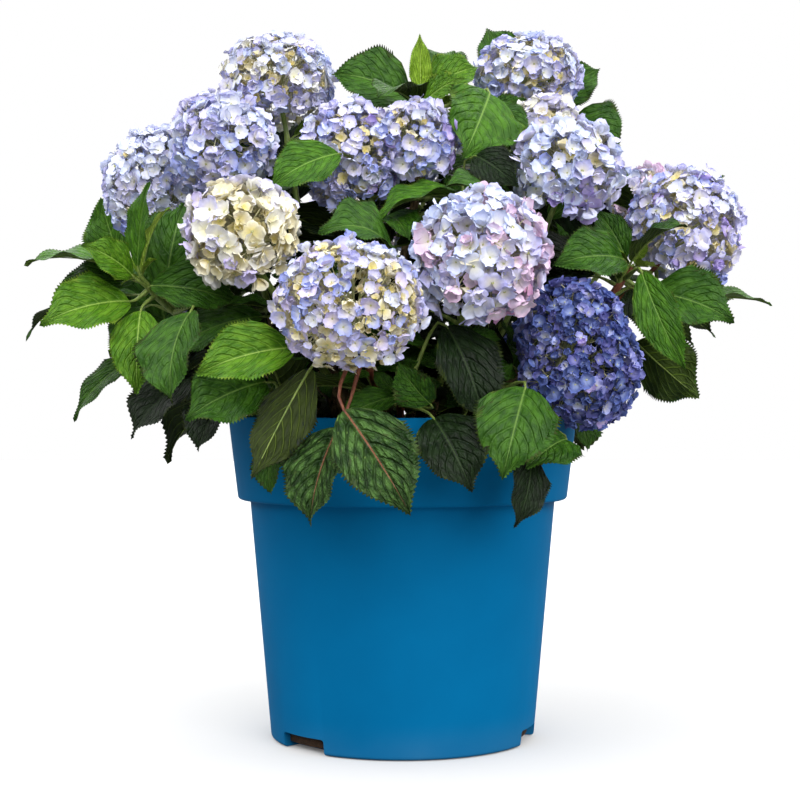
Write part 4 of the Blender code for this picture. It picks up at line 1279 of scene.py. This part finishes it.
bladeLook = {"veins": 8, "rowsPerVein": 3, "columns": 5, "forward": 0.34, "lean": 0.24, "puff": 0.018,
             "toothOut": 0.105, "toothAt": 0.86, "widest": (0.55, 0.84), "drawnTip": 0.72, "thick": 0.0005,
             "foldSpread": 6, "wave": 0.09, "curl": 0.03, "smallUnder": 0.045, "seed": 5}
# bright, fresh, mid and dark are one green in lit and shaded copies: painted light outside, painted shade within
looks = ("bright", "fresh", "mid", "dark", "quilted", "young")


# Half the blade's width over its greatest. It is fuller than the solids' towards the short drawn-out tip
def bladeEdge(share, look):
    late = max(0.0, (share - 0.7) / 0.3)
    return outline(share, look["widest"]) * (1 - look["drawnTip"] * late * late * (3 - 2 * late))


# A blade in its own measures: along and across the leaf, how far it lifts and its sheet. Its rows follow the
# side veins, which reach forward, and a tooth stands at each row of the margin
def bladeTemplate(name, veins, rowsPerVein, columns, look):
    rows = veins * rowsPerVein
    steps = [-(1 - j / columns) for j in range(columns)] + [j / columns for j in range(columns + 1)]
    shape = bmesh.new()
    names = ("along", "across", "lift", "depth", "rim")
    layers = {key: shape.verts.layers.float.new(key) for key in names}
    beneath = shape.faces.layers.int.new("beneath")
    maps = shape.loops.layers.uv.new("leafMap")

    def place(t, a):
        bend = 1.12 + 0.5 * (1 - a) ** 4
        share = min(1, a + look["forward"] * (1 - a) * abs(t) ** bend)
        margin = a + look["forward"] * (1 - a)
        return share, t * bladeEdge(min(margin, 0.9999), look) if a < 1 else 0.0

    def vert(t, a, depth, lift, outward=0.0):
        share, side = place(t, a)
        side += math.copysign(outward, t) if outward else 0
        made = shape.verts.new((side * plan["leafWidth"], share, lift * 0.2 + depth * 0.004))
        for key, value in zip(names, (share, side, lift, depth, abs(t))):
            made[layers[key]] = value
        return made

    def face(corners, spots, low):
        if low:
            corners, spots = corners[::-1], spots[::-1]
        made = shape.faces.new(corners)
        made[beneath] = int(low)
        made.smooth = True
        for loop, (t, a) in zip(made.loops, spots):
            loop[maps].uv = (0.5 + 0.5 * max(-1, min(1, t)), a)

    def puff(t, a):
        between = math.sin(math.pi * (((a - look["lean"] * abs(t) ** 1.6) * veins) % 1)) ** 0.8
        return between * math.sin(math.pi * min(1, abs(t)) ** 0.8) ** 0.7 * (1 - 0.5 * a)

    last = len(steps) - 1
    tip = vert(0, 1, 0, 0)
    rim, teeth = {}, {}
    for i in range(rows):
        for j, t in enumerate(steps):
            if i == 0 or j in (0, last):
                rim[i, j] = vert(t, i / rows, 0, 0)
        for t in (-1.0, 1.0) if i < rows - 1 else ():
            a = (i + look["toothAt"]) / rows
            teeth[i, t] = vert(t, a, 0, 0, look["toothOut"] * (1.2 - 0.6 * a) * (24 / rows) ** 0.5)
    for low in (False, True):
        grid = dict(rim)
        for i in range(1, rows):
            for j in range(1, last):
                t, a = steps[j], i / rows
                grid[i, j] = vert(t, a, -1 if low else 1, look["puff"] * puff(t, a))
        for i in range(rows - 1):
            for j in range(last):
                ways = [(i, j), (i, j + 1), (i + 1, j + 1), (i + 1, j)]
                corners, spots = [grid[w] for w in ways], [(steps[c], r / rows) for r, c in ways]
                if j in (0, last - 1):
                    at, t = (4, -1.0) if j == 0 else (2, 1.0)
                    corners.insert(at, teeth[i, t])
                    spots.insert(at, (t, (i + look["toothAt"]) / rows))
                face(corners, spots, low)
        for j in range(last):
            spots = [(steps[j], 1 - 1 / rows), (steps[j + 1], 1 - 1 / rows), (0, 1)]
            face([grid[rows - 1, j], grid[rows - 1, j + 1], tip], spots, low)
    for edge in shape.edges:  # each sheet keeps its own light right up to the margin
        edge.smooth = len({f[beneath] for f in edge.link_faces}) == 1
    made = meshed(name, shape)
    countTriangles(made)
    return made


# Blades set on points, bent along each leaf's own chord and folded, waved and curled
def bladeTree(paints):
    wires = newTree("bladesOnPoints", Blades="Collection", Thickness=0.0005, Wave=0.1, Curl=0.05)
    given = wires.given
    picks = wires.add("GeometryNodeCollectionInfo", given["Blades"], True, True)
    shape = wires.add("GeometryNodeInstanceOnPoints", given["Geometry"], None, picks, True,
                      wires.read("template", "INT"))
    shape = wires.add("GeometryNodeRealizeInstances", shape)
    base, chord, face = (wires.read(key, "FLOAT_VECTOR") for key in ("base", "chord", "face"))
    share, aside, rim, half, fold = (wires.read(key) for key in ("along", "across", "rim", "half", "fold"))
    length = chord.calc("LENGTH")
    rise = (face - chord * (face.calc("DOT_PRODUCT", chord) / (length * length))).calc("NORMALIZE")
    side = chord.calc("CROSS_PRODUCT", rise).calc("NORMALIZE")
    bow = wires.read("bow") * length
    ahead = (chord + rise * (bow * (share * -8.0 + 4.0))).calc("NORMALIZE")
    spot = base + chord * share + rise * (bow * (share * 4.0 * (1.0 - share)))
    reach = aside * half
    ripple = (share * 19.0 + wires.read("phase") + aside.calc("SIGN") * 1.3).calc("SINE")
    late = (share - 0.7).calc("MAXIMUM", 0.0)
    lifted = reach.calc("ABSOLUTE") * fold.calc("SINE")
    lifted += wires.read("lift") * length * wires.read("quilt")
    lifted += wires.read("depth") * (given["Thickness"] * 0.5)
    lifted += ripple * (rim * rim) * (given["Wave"] * half)
    lifted += late * late * (given["Curl"] * length * -11.0)
    spot += side * (reach * fold.calc("COSINE"))
    spot += side.calc("CROSS_PRODUCT", ahead) * lifted
    shape = wires.add("GeometryNodeSetPosition", shape, None, spot)
    return setPaints(wires, shape, wires.read("beneath") * float(len(looks)) + wires.read("look"), paints)


# Midrib, side veins, the blocks that the cross veinlets part, and a fine net, read from the leaf's own map
def buildVeinPattern():
    inputs = {"Map": "Vector", "Veins": float(bladeLook["veins"]), "Lean": bladeLook["lean"], "Blocks": 3.4}
    wires = newPattern("leafVeins", inputs, "Midrib", "Veins", "Crease", "Net", "Mottle", "Height")
    spot = wires.given["Map"]
    x, y = (wires.add("ShaderNodeSeparateXYZ", spot, output=key) for key in "XY")
    t = (x * 2.0 - 1.0).calc("ABSOLUTE")
    stray = wires.grain(spot, 5.0, 1.0, 0.5, noise_dimensions="2D")
    ahead = stray * 0.3 + (y - t.calc("POWER", 1.6) * wires.given["Lean"]) * wires.given["Veins"]

    def toNearest(value):  # how far a value is from the nearest whole number
        beat = value.calc("FRACT")
        return beat.calc("MINIMUM", 1.0 - beat)

    off = toNearest(ahead)
    lateral = wires.ramp(off / (t * -0.6 + 1.0), 0.07, 0.02) * wires.ramp(t, 1.0, 0.75, 0.1, 1.0)
    crease = wires.ramp(off, 0.24, 0.03).calc("MAXIMUM", wires.ramp(t, 0.15, 0.05))
    blocks = t * wires.given["Blocks"] + (ahead.calc("FLOOR") * 0.618 + stray * 0.9)
    joint = wires.ramp(toNearest(blocks), 0.24, 0.04)
    wide = spot * (0.85, 1.0, 1.0)
    cells = wires.add("ShaderNodeTexVoronoi", wide, 26.0, feature="DISTANCE_TO_EDGE", voronoi_dimensions="2D")
    net = wires.ramp(cells, 0.12, 0.02, 0.0, 0.45).calc("MAXIMUM", joint * 0.8)
    groove = crease.calc("MAXIMUM", joint * 0.55)
    return wires.put(Midrib=wires.ramp(t, 0.036, 0.012), Veins=lateral, Crease=crease, Net=net,
                     Mottle=wires.grain(wide, 7.0, 2.0, noise_dimensions="2D"),
                     Height=wires.ramp(cells, 0.0, 0.34) * 0.16 + (1.0 - groove))


veinPattern = buildVeinPattern()


def shaded(tone, share):
    return tuple(c * share for c in tone[:3]) + (1,)


def leafPaint(name, deep, light, vein, midrib, look):
    wires = newPaint(name, Specular_IOR_Level=0.2)
    found = wires.use(veinPattern, Map=wires.add("ShaderNodeUVMap", uv_map="leafMap"))
    shade = shaded(deep, look["shade"])
    tone = wires.mix(wires.ramp(found["Mottle"], 0.32, 0.68), deep, light)
    # Net and creases: painted shade in the hollows of the upper side, paler raised veins underneath
    for label, over in (("Net", shade), ("Crease", shade), ("Veins", vein), ("Midrib", midrib)):
        tone = wires.mix(found[label] * look[label], tone, over)
    gloss = found["Net"] * 0.12 + (found["Mottle"] * 0.2 + (look["gloss"] - 0.1))
    relief = wires.bump(found["Height"] * look["relief"], 1.0, look["depth"])
    return wires.finish(Base_Color=tone, Roughness=gloss, Normal=relief)


# Leaf finishes: a deep and a light tone mixed in mottled patches, the colour of the side veins and of the midrib.
# On the upper side half the deep tone is painted as shade into the creases and the vein net
leafTops = {"bright": ((62, 106, 12), (92, 136, 28), (130, 168, 64), (158, 186, 90)),
            "fresh": ((46, 88, 9), (72, 119, 22), (100, 143, 50), (128, 164, 74)),
            "mid": ((36, 74, 9), (61, 103, 23), (84, 126, 42), (110, 142, 64)),
            "dark": ((9, 24, 4), (20, 40, 10), (30, 54, 18), (52, 74, 34)),
            "quilted": ((30, 58, 18), (78, 114, 52), (50, 82, 34), (140, 88, 66)),
            "young": ((110, 148, 26), (142, 180, 50), (170, 198, 96), (186, 204, 112))}
leafBacks = {"bright": ((84, 112, 24), (112, 140, 42)), "fresh": ((64, 90, 22), (88, 114, 36)),
             "mid": ((40, 56, 12), (58, 76, 20)), "dark": ((33, 44, 8), (48, 61, 13)),
             "quilted": ((44, 62, 24), (62, 82, 36)), "young": ((126, 152, 52), (150, 174, 74))}
# On tops "shade" scales the deep tone into a painted shade for the net and creases; on backs it makes them paler
topLook = {"gloss": 0.44, "shade": 0.5, "Net": 0.2, "Crease": 0.2, "Veins": 0.32, "Midrib": 0.6, "relief": 1.0,
           "depth": 0.001}
quiltedLook = {"gloss": 0.40, "shade": 0.42, "Net": 0.42, "Crease": 0.5, "Veins": 0.15, "Midrib": 0.8,
               "relief": 1.0, "depth": 0.0030}
backLook = {"gloss": 0.6, "shade": 1.5, "Net": 0.35, "Crease": 0.25, "Veins": 0.75, "Midrib": 0.8, "relief": -0.6,
            "depth": 0.0012}


def leafPaints():
    made = []
    for key in looks:
        tones = [colour(*c) for c in leafTops[key]]
        made.append(leafPaint(key + "Leaf", *tones, quiltedLook if key == "quilted" else topLook))
    for key in looks:
        deep, light = (colour(*c) for c in leafBacks[key])
        vein = shaded(light, 3.2)
        made.append(leafPaint(key + "LeafBack", deep, light, vein, vein, backLook))
    return made


# High and outer leaves get lighter finishes than low and inner ones: partly paler young growth,
# partly painted light and shade for where the crown is lit
def leafFinish(leaf, rng):
    if leaf.look in looks:
        return leaf.look
    middle = (leaf.base + leaf.tip) / 2
    height = (middle.z - 0.25) / 0.3 + rng.uniform(-0.25, 0.25)
    outward = math.hypot(middle.x, middle.y) / 0.25
    light = 0.55 * height + 0.45 * outward + (0.2 if leaf.look == "small" else 0)
    return "dark" if light < 0.35 else "mid" if light < 0.72 else "fresh" if light < 1.0 else "bright"


# What the blade tree reads from each leaf's point
def leafValues(leaf, look, rng):
    chord = leaf.tip - leaf.base
    finish = leafFinish(leaf, rng)
    fold = plan["leafFold"] + math.radians(rng.uniform(-1, 1) * look["foldSpread"])
    quilt = 1.25 if finish == "quilted" else rng.uniform(0.45, 1.0)
    small = chord.length < look["smallUnder"]
    return {"base": leaf.base, "chord": chord, "face": leaf.face, "bow": float(leaf.sag),
            "half": leaf.width * chord.length, "fold": fold, "quilt": quilt, "phase": rng.uniform(0, 6.28),
            "template": int(small), "look": float(looks.index(finish))}


# Rows of values by name, turned into one column for each name
def inColumns(rows):
    return {key: [row[key] for row in rows] for key in rows[0]}


def buildLeaves(look):
    rng = random.Random(look["seed"])
    templates = [bladeTemplate("blade0", look["veins"], look["rowsPerVein"], look["columns"], look),
                 bladeTemplate("blade1", 6, 2, 2, look)]
    templates = hiddenCollection("blades", templates)
    tree = bladeTree(leafPaints())
    for side in sides:
        chosen = sideShoots(side)
        spots = inColumns([leafValues(leaf, look, rng) for shoot in chosen for leaf in leaves[shoot.name]])
        piece = carrier("leaves" + side, [tuple(p) for p in spots["base"]], **spots)
        piece = grow(piece, tree, Blades=templates, Thickness=look["thick"], Wave=look["wave"], Curl=look["curl"])
        tileMap(piece.data, "leafMap")
        finishPiece(piece, nodeNames(chosen))
    dropCollection(templates)


buildLeaves(bladeLook)


# Floret colours: at the claw of each sepal, over its face, and along its rim
tints = {"cream": ((226, 212, 136), (240, 231, 186), (245, 241, 218)),
         "butter": ((212, 198, 104), (236, 222, 152), (242, 235, 192)),
         "ivory": ((238, 234, 196), (245, 244, 228), (242, 241, 240)),
         "skyPale": ((236, 236, 220), (214, 222, 246), (198, 211, 246)),
         "ice": ((238, 238, 224), (226, 230, 247), (212, 220, 247)),
         "lavenderPale": ((240, 236, 218), (226, 224, 247), (212, 211, 246)),
         "lavender": ((236, 230, 214), (211, 210, 246), (192, 194, 242)),
         "lilac": ((236, 226, 212), (217, 209, 240), (200, 191, 234)),
         "periwinkle": ((228, 228, 220), (184, 194, 243), (160, 175, 239)),
         "wisteria": ((190, 190, 214), (128, 132, 196), (140, 145, 205)),
         "cornflower": ((150, 164, 206), (78, 97, 162), (96, 113, 180)),
         "indigo": ((140, 140, 192), (80, 84, 150), (96, 100, 168)),
         "violet": ((219, 209, 235), (178, 161, 224), (185, 169, 230)),
         "blush": ((240, 231, 221), (239, 219, 237), (234, 202, 229)),
         "rose": ((232, 186, 204), (224, 154, 196), (224, 164, 208))}
wash = (208, 202, 240)  # the tone that drifts through every head
tintNames = list(tints)
# Florets that lie deeper
creamy = "butter 2, cream 2.4, lavender 3, lavenderPale 2"
bluish = "lavender 3, periwinkle 2.4, cream 0.5, lavenderPale 2.5"
pinkish = "lavenderPale 2, blush 2, lavender 1.5, cream 0.6"
deepBlue = "indigo 3, cornflower 3, wisteria 2"

# Each head: its sepals' length, how closely florets lie, its colours with their share of the head, and those of
# the florets beneath. A colour may lean to one side of the head: colour, share, right, back, up. Pale tints that
# lean up and deep ones that lean down paint light on the heads' tops and shade beneath them; other leans, such as
# the pink side of middle_right, are the heads' own colour
heads = {
    "upper_left": (0.0078, 2.15,
        "lavenderPale 2.4, ice 2 0 -0.3 0.9, butter 2.6, ivory 2.6, lavender 2 -0.6 0 -0.5, "
        "skyPale 1.3 0.6 0 0.2, periwinkle 1 0 0 -0.8", creamy),
    "left": (0.0083, 2.15,
        "lavender 0.8, periwinkle 1 -0.5 -0.2 -1.2, lavenderPale 2.6, ice 4 -0.4 -0.3 0.7, butter 0.6, "
        "skyPale 2.4", bluish),
    "left_inner": (0.009, 2.15,
        "lavender 3, lavenderPale 2.2, periwinkle 1.4 -0.3 0 -0.9, ice 1.5 0 -0.3 0.9, skyPale 1", bluish),
    "left_back": (0.008, 2.05,
        "lavenderPale 3, ice 3, ivory 1, skyPale 1, lavender 0.8", bluish),
    "cream": (0.0106, 2.1,
        "ivory 3, cream 3.2 0.4 -0.3 -0.2, butter 1 0.3 -0.5 -0.4, lavenderPale 1.6 -0.4 0 0.3, "
        "lilac 0.6 -0.3 0 -0.5", "cream 3, butter 2.4, ivory 1.6"),
    "upper_middle": (0.0083, 2.15,
        "lavenderPale 2.4, lavender 2.2, butter 1.6 -0.2 -0.5 0.1, periwinkle 1.7 -0.6 0 -0.9, "
        "ice 1.7 -0.2 -0.2 0.9, violet 0.25 1.5 0 0", bluish),
    "lower_middle": (0.0074, 1.95,
        "lavender 2.2, lavenderPale 1.6, butter 3.4, cream 1.2, periwinkle 1.7, lilac 1.9 0 0 -0.6, "
        "ice 1.0 0 0 0.9", "butter 4, cream 2.4, lilac 1"),
    "middle_right": (0.0109, 1.9,
        "skyPale 2.6 -0.7 -0.2 0.5, ice 2 -0.2 -0.2 0.8, lavenderPale 2.4, lavender 1.3 -0.3 0 -0.3, "
        "blush 2.2 0.9 -0.1 -0.1, rose 0.06 1.2 0 -2.2", pinkish),
    "upper_right": (0.008, 2.15,
        "lavender 2.4, ice 2 0 -0.2 0.8, butter 1.8 0 -0.6 0, periwinkle 1.8 -0.7 0 -0.6, skyPale 1.5", creamy),
    "right_inner": (0.0084, 1.95,
        "ivory 2, lavenderPale 2.2, cream 1.5, lavender 1", creamy),
    "right_middle": (0.0105, 1.9,
        "skyPale 3 -0.7 -0.2 0.3, ice 3, lavenderPale 2, lavender 1.3 0.5 0 -0.7, violet 0.4 0.3 0 -1", bluish),
    "right": (0.0082, 2.05,
        "lavender 3, lavenderPale 2.2, butter 2, violet 1 0.3 0 -0.5, periwinkle 1.6, ice 1.3 0 -0.2 0.9", creamy),
    "deep_blue": (0.0067, 2.0,
        "cornflower 3.4, indigo 2.2, wisteria 1.5 -0.3 0 -0.2, periwinkle 0.5, violet 0.2", deepBlue),
    "back_left": (0.01, 1.7,
        "lavender 2, lavenderPale 2, periwinkle 1.5, ice 1.5", bluish),
    "back_middle": (0.0115, 1.7,
        "skyPale 2.5, ice 2, lavenderPale 2, blush 1", pinkish),
    "back_right": (0.0095, 1.7,
        "lavenderPale 2.5, lavender 2, cream 1.3, violet 0.7", creamy),
    "right_back": (0.011, 1.7,
        "lavenderPale 2, blush 2, skyPale 1.5, lavender 1", pinkish),
    "top_back": (0.0092, 1.8,
        "lavender 2.4, ice 2, cream 1.2, periwinkle 1.5", bluish),
    "left_low": (0.009, 1.8,
        "periwinkle 2.5, lavender 2, cornflower 0.6, lavenderPale 1.5", bluish),
    "back_low_left": (0.0105, 1.7,
        "ivory 2, cream 1.8, lavenderPale 2, lavender 1", creamy),
    "back_low_right": (0.0092, 1.8,
        "cornflower 2.5, indigo 1.8, wisteria 2.2, violet 0.4", deepBlue)}


# "colour share right back up, ..." as rows of a colour, its share and its lean
def blend(text):
    rows = [part.split() for part in text.split(", ")]
    return [(row[0], float(row[1]), Vector([float(word) for word in row[2:] or "000"])) for row in rows]


floretLook = {"lean": 23, "inset": 0.68, "cymes": 0.07, "innerShare": 0.7, "innerDepth": 0.11, "innerSize": 0.9,
              "clusters": 1.0, "clusterScale": 55, "leanStrength": 1.7, "underside": -0.78, "young": 0.64,
              "outerKinds": (2.6, 3, 2.6, 1.6, 1.2, 0, 0, 0.3), "innerKinds": (0, 0, 0, 0, 0, 3, 3, 1.6),
              "seed": 12}
goldenTurn = 2.39996
# Rows of points over a sepal: how far out, and half the width there
fineRows = ((0.03, 0.10), (0.32, 0.39), (0.64, 0.53), (0.88, 0.41), (1.0, 0.13))
plainRows = ((0.03, 0.10), (0.64, 0.53), (0.97, 0.24))

# Each kind of floret: how many sepals it has, how far they cup, curve and roll, their columns and their rows
floretKinds = ((4, 12, 0.14, 0.12, 3, fineRows), (4, 24, 0.20, 0.10, 3, fineRows),
               (4, 38, 0.26, 0.14, 3, fineRows), (4, 2, -0.06, -0.08, 3, fineRows),
               (5, 20, 0.14, 0.10, 3, fineRows), (4, 22, 0.14, 0.10, 2, plainRows),
               (4, 40, 0.20, 0.10, 2, plainRows), (4, 62, -0.20, 0.30, 2, plainRows))


# One floret of unit sepals: broad rounded sepals round an eye, on a stalk that runs back into the head
def floretTemplate(number, count, cup, curve, roll, columns, rows):
    rng = random.Random(number + 1)
    shape = bmesh.new()
    other = shape.faces.layers.float.new("other")
    maps = shape.loops.layers.uv.new("sepalMap")

    def face(corners, spots, part=0):
        made = shape.faces.new(corners)
        made[other] = float(part)
        made.smooth = True
        for loop, spot in zip(made.loops, spots):
            loop[maps].uv = spot

    for k in range(count):
        turn = 2 * math.pi * k / count + rng.uniform(-0.12, 0.12)
        size = rng.uniform(0.78, 1.14)
        tilt = math.radians(cup + rng.uniform(-17, 17))
        twist, wave = rng.uniform(-0.3, 0.3), rng.uniform(-0.08, 0.08)
        cell = Vector((k % 2, (k // 2) % 2)) / 2
        grid = []
        for v, half in rows:
            line = []
            for j in range(columns + 1):
                u = 2 * j / columns - 1
                reach = size * (v - 0.13 * u * u * v)
                rise = curve * reach * reach + roll * u * u * v + twist * u * half * v
                rise += wave * math.sin(5 * v + 2 * u)
                x = reach * math.cos(tilt) - rise * math.sin(tilt)
                z = reach * math.sin(tilt) + rise * math.cos(tilt) + (0.035 * (k % 2) + 0.02)
                y = u * half * size
                spot = (x * math.cos(turn) - y * math.sin(turn), x * math.sin(turn) + y * math.cos(turn), z)
                line.append((shape.verts.new(spot), (cell.x + 0.25 + 0.23 * u, cell.y + 0.02 + 0.46 * v)))
            grid.append(line)
        for low, high in zip(grid, grid[1:]):
            for j in range(columns):
                ring = (low[j + 1], high[j + 1], high[j], low[j])
                face([r[0] for r in ring], [r[1] for r in ring])

    def ring(radius, height, sides):
        turns = [2 * math.pi * i / sides for i in range(sides)]
        return [shape.verts.new((radius * math.cos(turn), radius * math.sin(turn), height)) for turn in turns]

    foot, neck, eye = ring(0.045, -1.6, 3), ring(0.045, -0.02, 3), ring(0.13, 0.05, 5)
    for i in range(3):
        face([foot[i], foot[(i + 1) % 3], neck[(i + 1) % 3], neck[i]], ((0, 0), (1, 0), (1, 1), (0, 1)), 2)
    top = shape.verts.new((0, 0, 0.2))
    for i in range(5):
        face([eye[i], eye[(i + 1) % 5], top], ((0, 0), (1, 0), (0.5, 1)), 1)
    return meshed(f"floret{number}", shape)


# Florets set on points, each facing its own way and turned by its own spin
def floretTree(paints):
    wires = newTree("floretsOnPoints", Florets="Collection", Size=1.0)
    given = wires.given
    picks = wires.add("GeometryNodeCollectionInfo", given["Florets"], True, True)
    outward = wires.read("outward", "FLOAT_VECTOR")
    turn = wires.add("FunctionNodeAlignRotationToVector", None, 1.0, outward, axis="Z")
    spin = wires.add("FunctionNodeAxisAngleToRotation", (0, 0, 1), wires.read("spin"))
    turn = wires.add("FunctionNodeRotateRotation", turn, spin, rotation_space="LOCAL")
    made = wires.add("GeometryNodeInstanceOnPoints", given["Geometry"], None, picks, True,
                     wires.read("template", "INT"), turn, wires.read("size") * given["Size"])
    made = wires.add("GeometryNodeRealizeInstances", made)
    other = wires.read("other")  # 0 on sepals, 1 on the eye, 2 on the stalk
    sepal = other.calc("LESS_THAN", 0.5)
    part = (1.0 - sepal) * (other + float(len(tintNames) - 1))
    return setPaints(wires, made, wires.read("tint") * sepal + part, paints)


# The claw, rim, fine veins and blotches of a sepal, read from its own map of four sepals
def buildSepalPattern():
    wires = newPattern("sepalMarks", {"Map": "Vector"}, "Claw", "Rim", "Veins", "Blotch")
    cell = (wires.given["Map"] * 2.0).calc("FRACTION")
    x, y = (wires.add("ShaderNodeSeparateXYZ", cell, output=key) for key in "XY")
    u, v = (x - 0.5) * 2.17, (y - 0.04) * 1.087
    sideways = u.calc("ABSOLUTE")
    fan = (u * 8.5).calc("SINE").calc("ABSOLUTE")
    return wires.put(Claw=wires.ramp(sideways * sideways * 0.15 + v, 0.72, 0.12),
                     Rim=wires.ramp(sideways, 0.6, 1.0).calc("MAXIMUM", wires.ramp(v, 0.6, 1.0)),
                     Veins=wires.ramp(fan, 0.35, 0.05) * wires.ramp(v, 0.08, 0.35),
                     Blotch=wires.grain(wires.given["Map"], 6.0, 2.0, noise_dimensions="2D"))


def sepalPaint(name, claw, face, rim, pattern):
    wires = newPaint(name + "Sepal", Specular_IOR_Level=0.1)
    found = wires.use(pattern, Map=wires.add("ShaderNodeUVMap", uv_map="sepalMap"))
    deep = shaded(face, 0.84)
    pale = sum(face[:3]) > 1.2  # a deep blue sepal takes less of the drifting tone
    tone = wires.mix(wires.ramp(found["Blotch"], 0.35, 0.75), face, deep)
    tone = wires.mix(wires.patch(70.0, 2.0, 0.35 if pale else 0.1), tone, colour(*wash))
    for label, share, over in (("Veins", 0.35, deep), ("Rim", 0.8, rim), ("Claw", 0.85, claw)):
        tone = wires.mix(found[label] * share, tone, over)
    relief = wires.bump(found["Veins"], -0.3, 0.0006)
    return wires.finish(Base_Color=tone, Roughness=found["Blotch"] * 0.2 + 0.5, Normal=relief)


def centrePaint(name, low, high):
    wires = newPaint(name)
    spot = wires.add("ShaderNodeUVMap", uv_map="sepalMap")
    grain = wires.grain(spot, 5.0, 2.0, noise_dimensions="2D")
    height = wires.add("ShaderNodeSeparateXYZ", spot, output="Y")
    tone = wires.mix(grain * 0.5 + height * 0.5, colour(*low), colour(*high))
    return wires.finish(Base_Color=tone, Roughness=grain * 0.3 + 0.45)


def floretPaints():
    pattern = buildSepalPattern()
    made = [sepalPaint(key, *(colour(*c) for c in tints[key]), pattern) for key in tintNames]
    return made + [centrePaint("floretEye", (140, 156, 110), (214, 206, 136)),
                   centrePaint("floretStalk", (186, 184, 132), (228, 222, 178))]


# A floret's colour, by chance: by share, by the side of the head that a colour leans to, and in clusters.
# The upward leans of pale tints and the downward leans of deep ones are painted light and shade
def pickTint(choices, way, place, look, rng):
    weights = []
    for k, (_, share, lean) in enumerate(choices):
        cluster = noise.noise(place * look["clusterScale"] + Vector((k * 7.3, 0, 0)))
        weights.append(share * math.exp(lean.dot(way) * look["leanStrength"] + look["clusters"] * cluster))
    return rng.choices([row[0] for row in choices], weights)[0]


# The florets of one layer of a lobe, as what the floret tree reads from each floret's point
def layerPoints(shoot, ball, layer, total, choices, look, rng):
    size = heads[shoot.name][0]
    centre = Vector((ball.x, ball.y, ball.z))
    mean = (2 * ball.wide + ball.high) / 3
    below = -facing(shoot)
    made = []
    for k in range(total):
        level = 1 - (2 * k + 1) / total
        azimuth = goldenTurn * k + rng.uniform(-0.22, 0.22)
        level = max(-1, min(1, level + rng.uniform(-0.03, 0.03)))
        ring = math.sqrt(1 - level * level)
        way = Vector((ring * math.cos(azimuth), ring * math.sin(azimuth), level))
        if way.dot(below) > -look["underside"]:
            continue
        depth = 1 - look["inset"] * size / mean - layer * look["innerDepth"] + rng.uniform(-0.055, 0.045)
        depth += look["cymes"] * noise.noise(way * 3.4 + centre * 50)
        offset = stretched(way, ball)
        place = centre + offset * depth
        if any(insideLobe(place, b, 0.88) for b in shoot.lobes if b != ball):
            continue
        normal = Vector((way.x / ball.wide, way.y / ball.wide, way.z / ball.high)).normalized()
        side = (Quaternion(normal, rng.uniform(0, 6.28)) @ normal.orthogonal()).normalized()
        lean = math.radians(abs(rng.gauss(0, look["lean"] * (1 + 0.3 * layer))))
        tint = pickTint(choices, way, place, look, rng)
        grown = look["young"] if tint == "butter" else 1  # the yellow florets are still young
        spin = rng.uniform(0, 6.28)
        wide = size * rng.uniform(0.76, 1.16) * (look["innerSize"] if layer else 1) * grown
        kinds = look["innerKinds" if layer else "outerKinds"]
        made.append({"place": tuple(place - offset * (0.6 * (1 - grown) * size / mean)),
                     "outward": normal * math.cos(lean) + side * math.sin(lean), "spin": spin, "size": wide,
                     "template": rng.choices(range(len(kinds)), kinds)[0], "tint": float(tintNames.index(tint))})
    return made


# The florets of a whole head: in each lobe an outer layer, and one beneath it
def headPoints(shoot, look, rng):
    size, cover, outer, inner = heads[shoot.name]
    layers = (blend(outer), 1), (blend(inner), look["innerShare"])
    made = []
    for ball in shoot.lobes:
        mean = (2 * ball.wide + ball.high) / 3
        count = int(cover * 4 * math.pi * mean ** 2 / (3.0 * size * size))
        for layer, (choices, share) in enumerate(layers):
            made += layerPoints(shoot, ball, layer, int(count * share), choices, look, rng)
    return made


def buildBlossom(look):
    templates = hiddenCollection("florets", [floretTemplate(k, *row) for k, row in enumerate(floretKinds)])
    tree = floretTree(floretPaints())
    rng = random.Random(look["seed"])
    for side in sides:
        chosen = [s for s in sideShoots(side) if s.lobes]
        spots = inColumns([row for shoot in chosen for row in headPoints(shoot, look, rng)])
        places = spots.pop("place")
        piece = grow(carrier("blossom" + side, places, **spots), tree, Florets=templates, Size=1.0)
        tileMap(piece.data, "sepalMap")
        print(f"{len(places)} florets")
        finishPiece(piece, nodeNames(chosen))
    dropCollection(templates)


buildBlossom(floretLook)
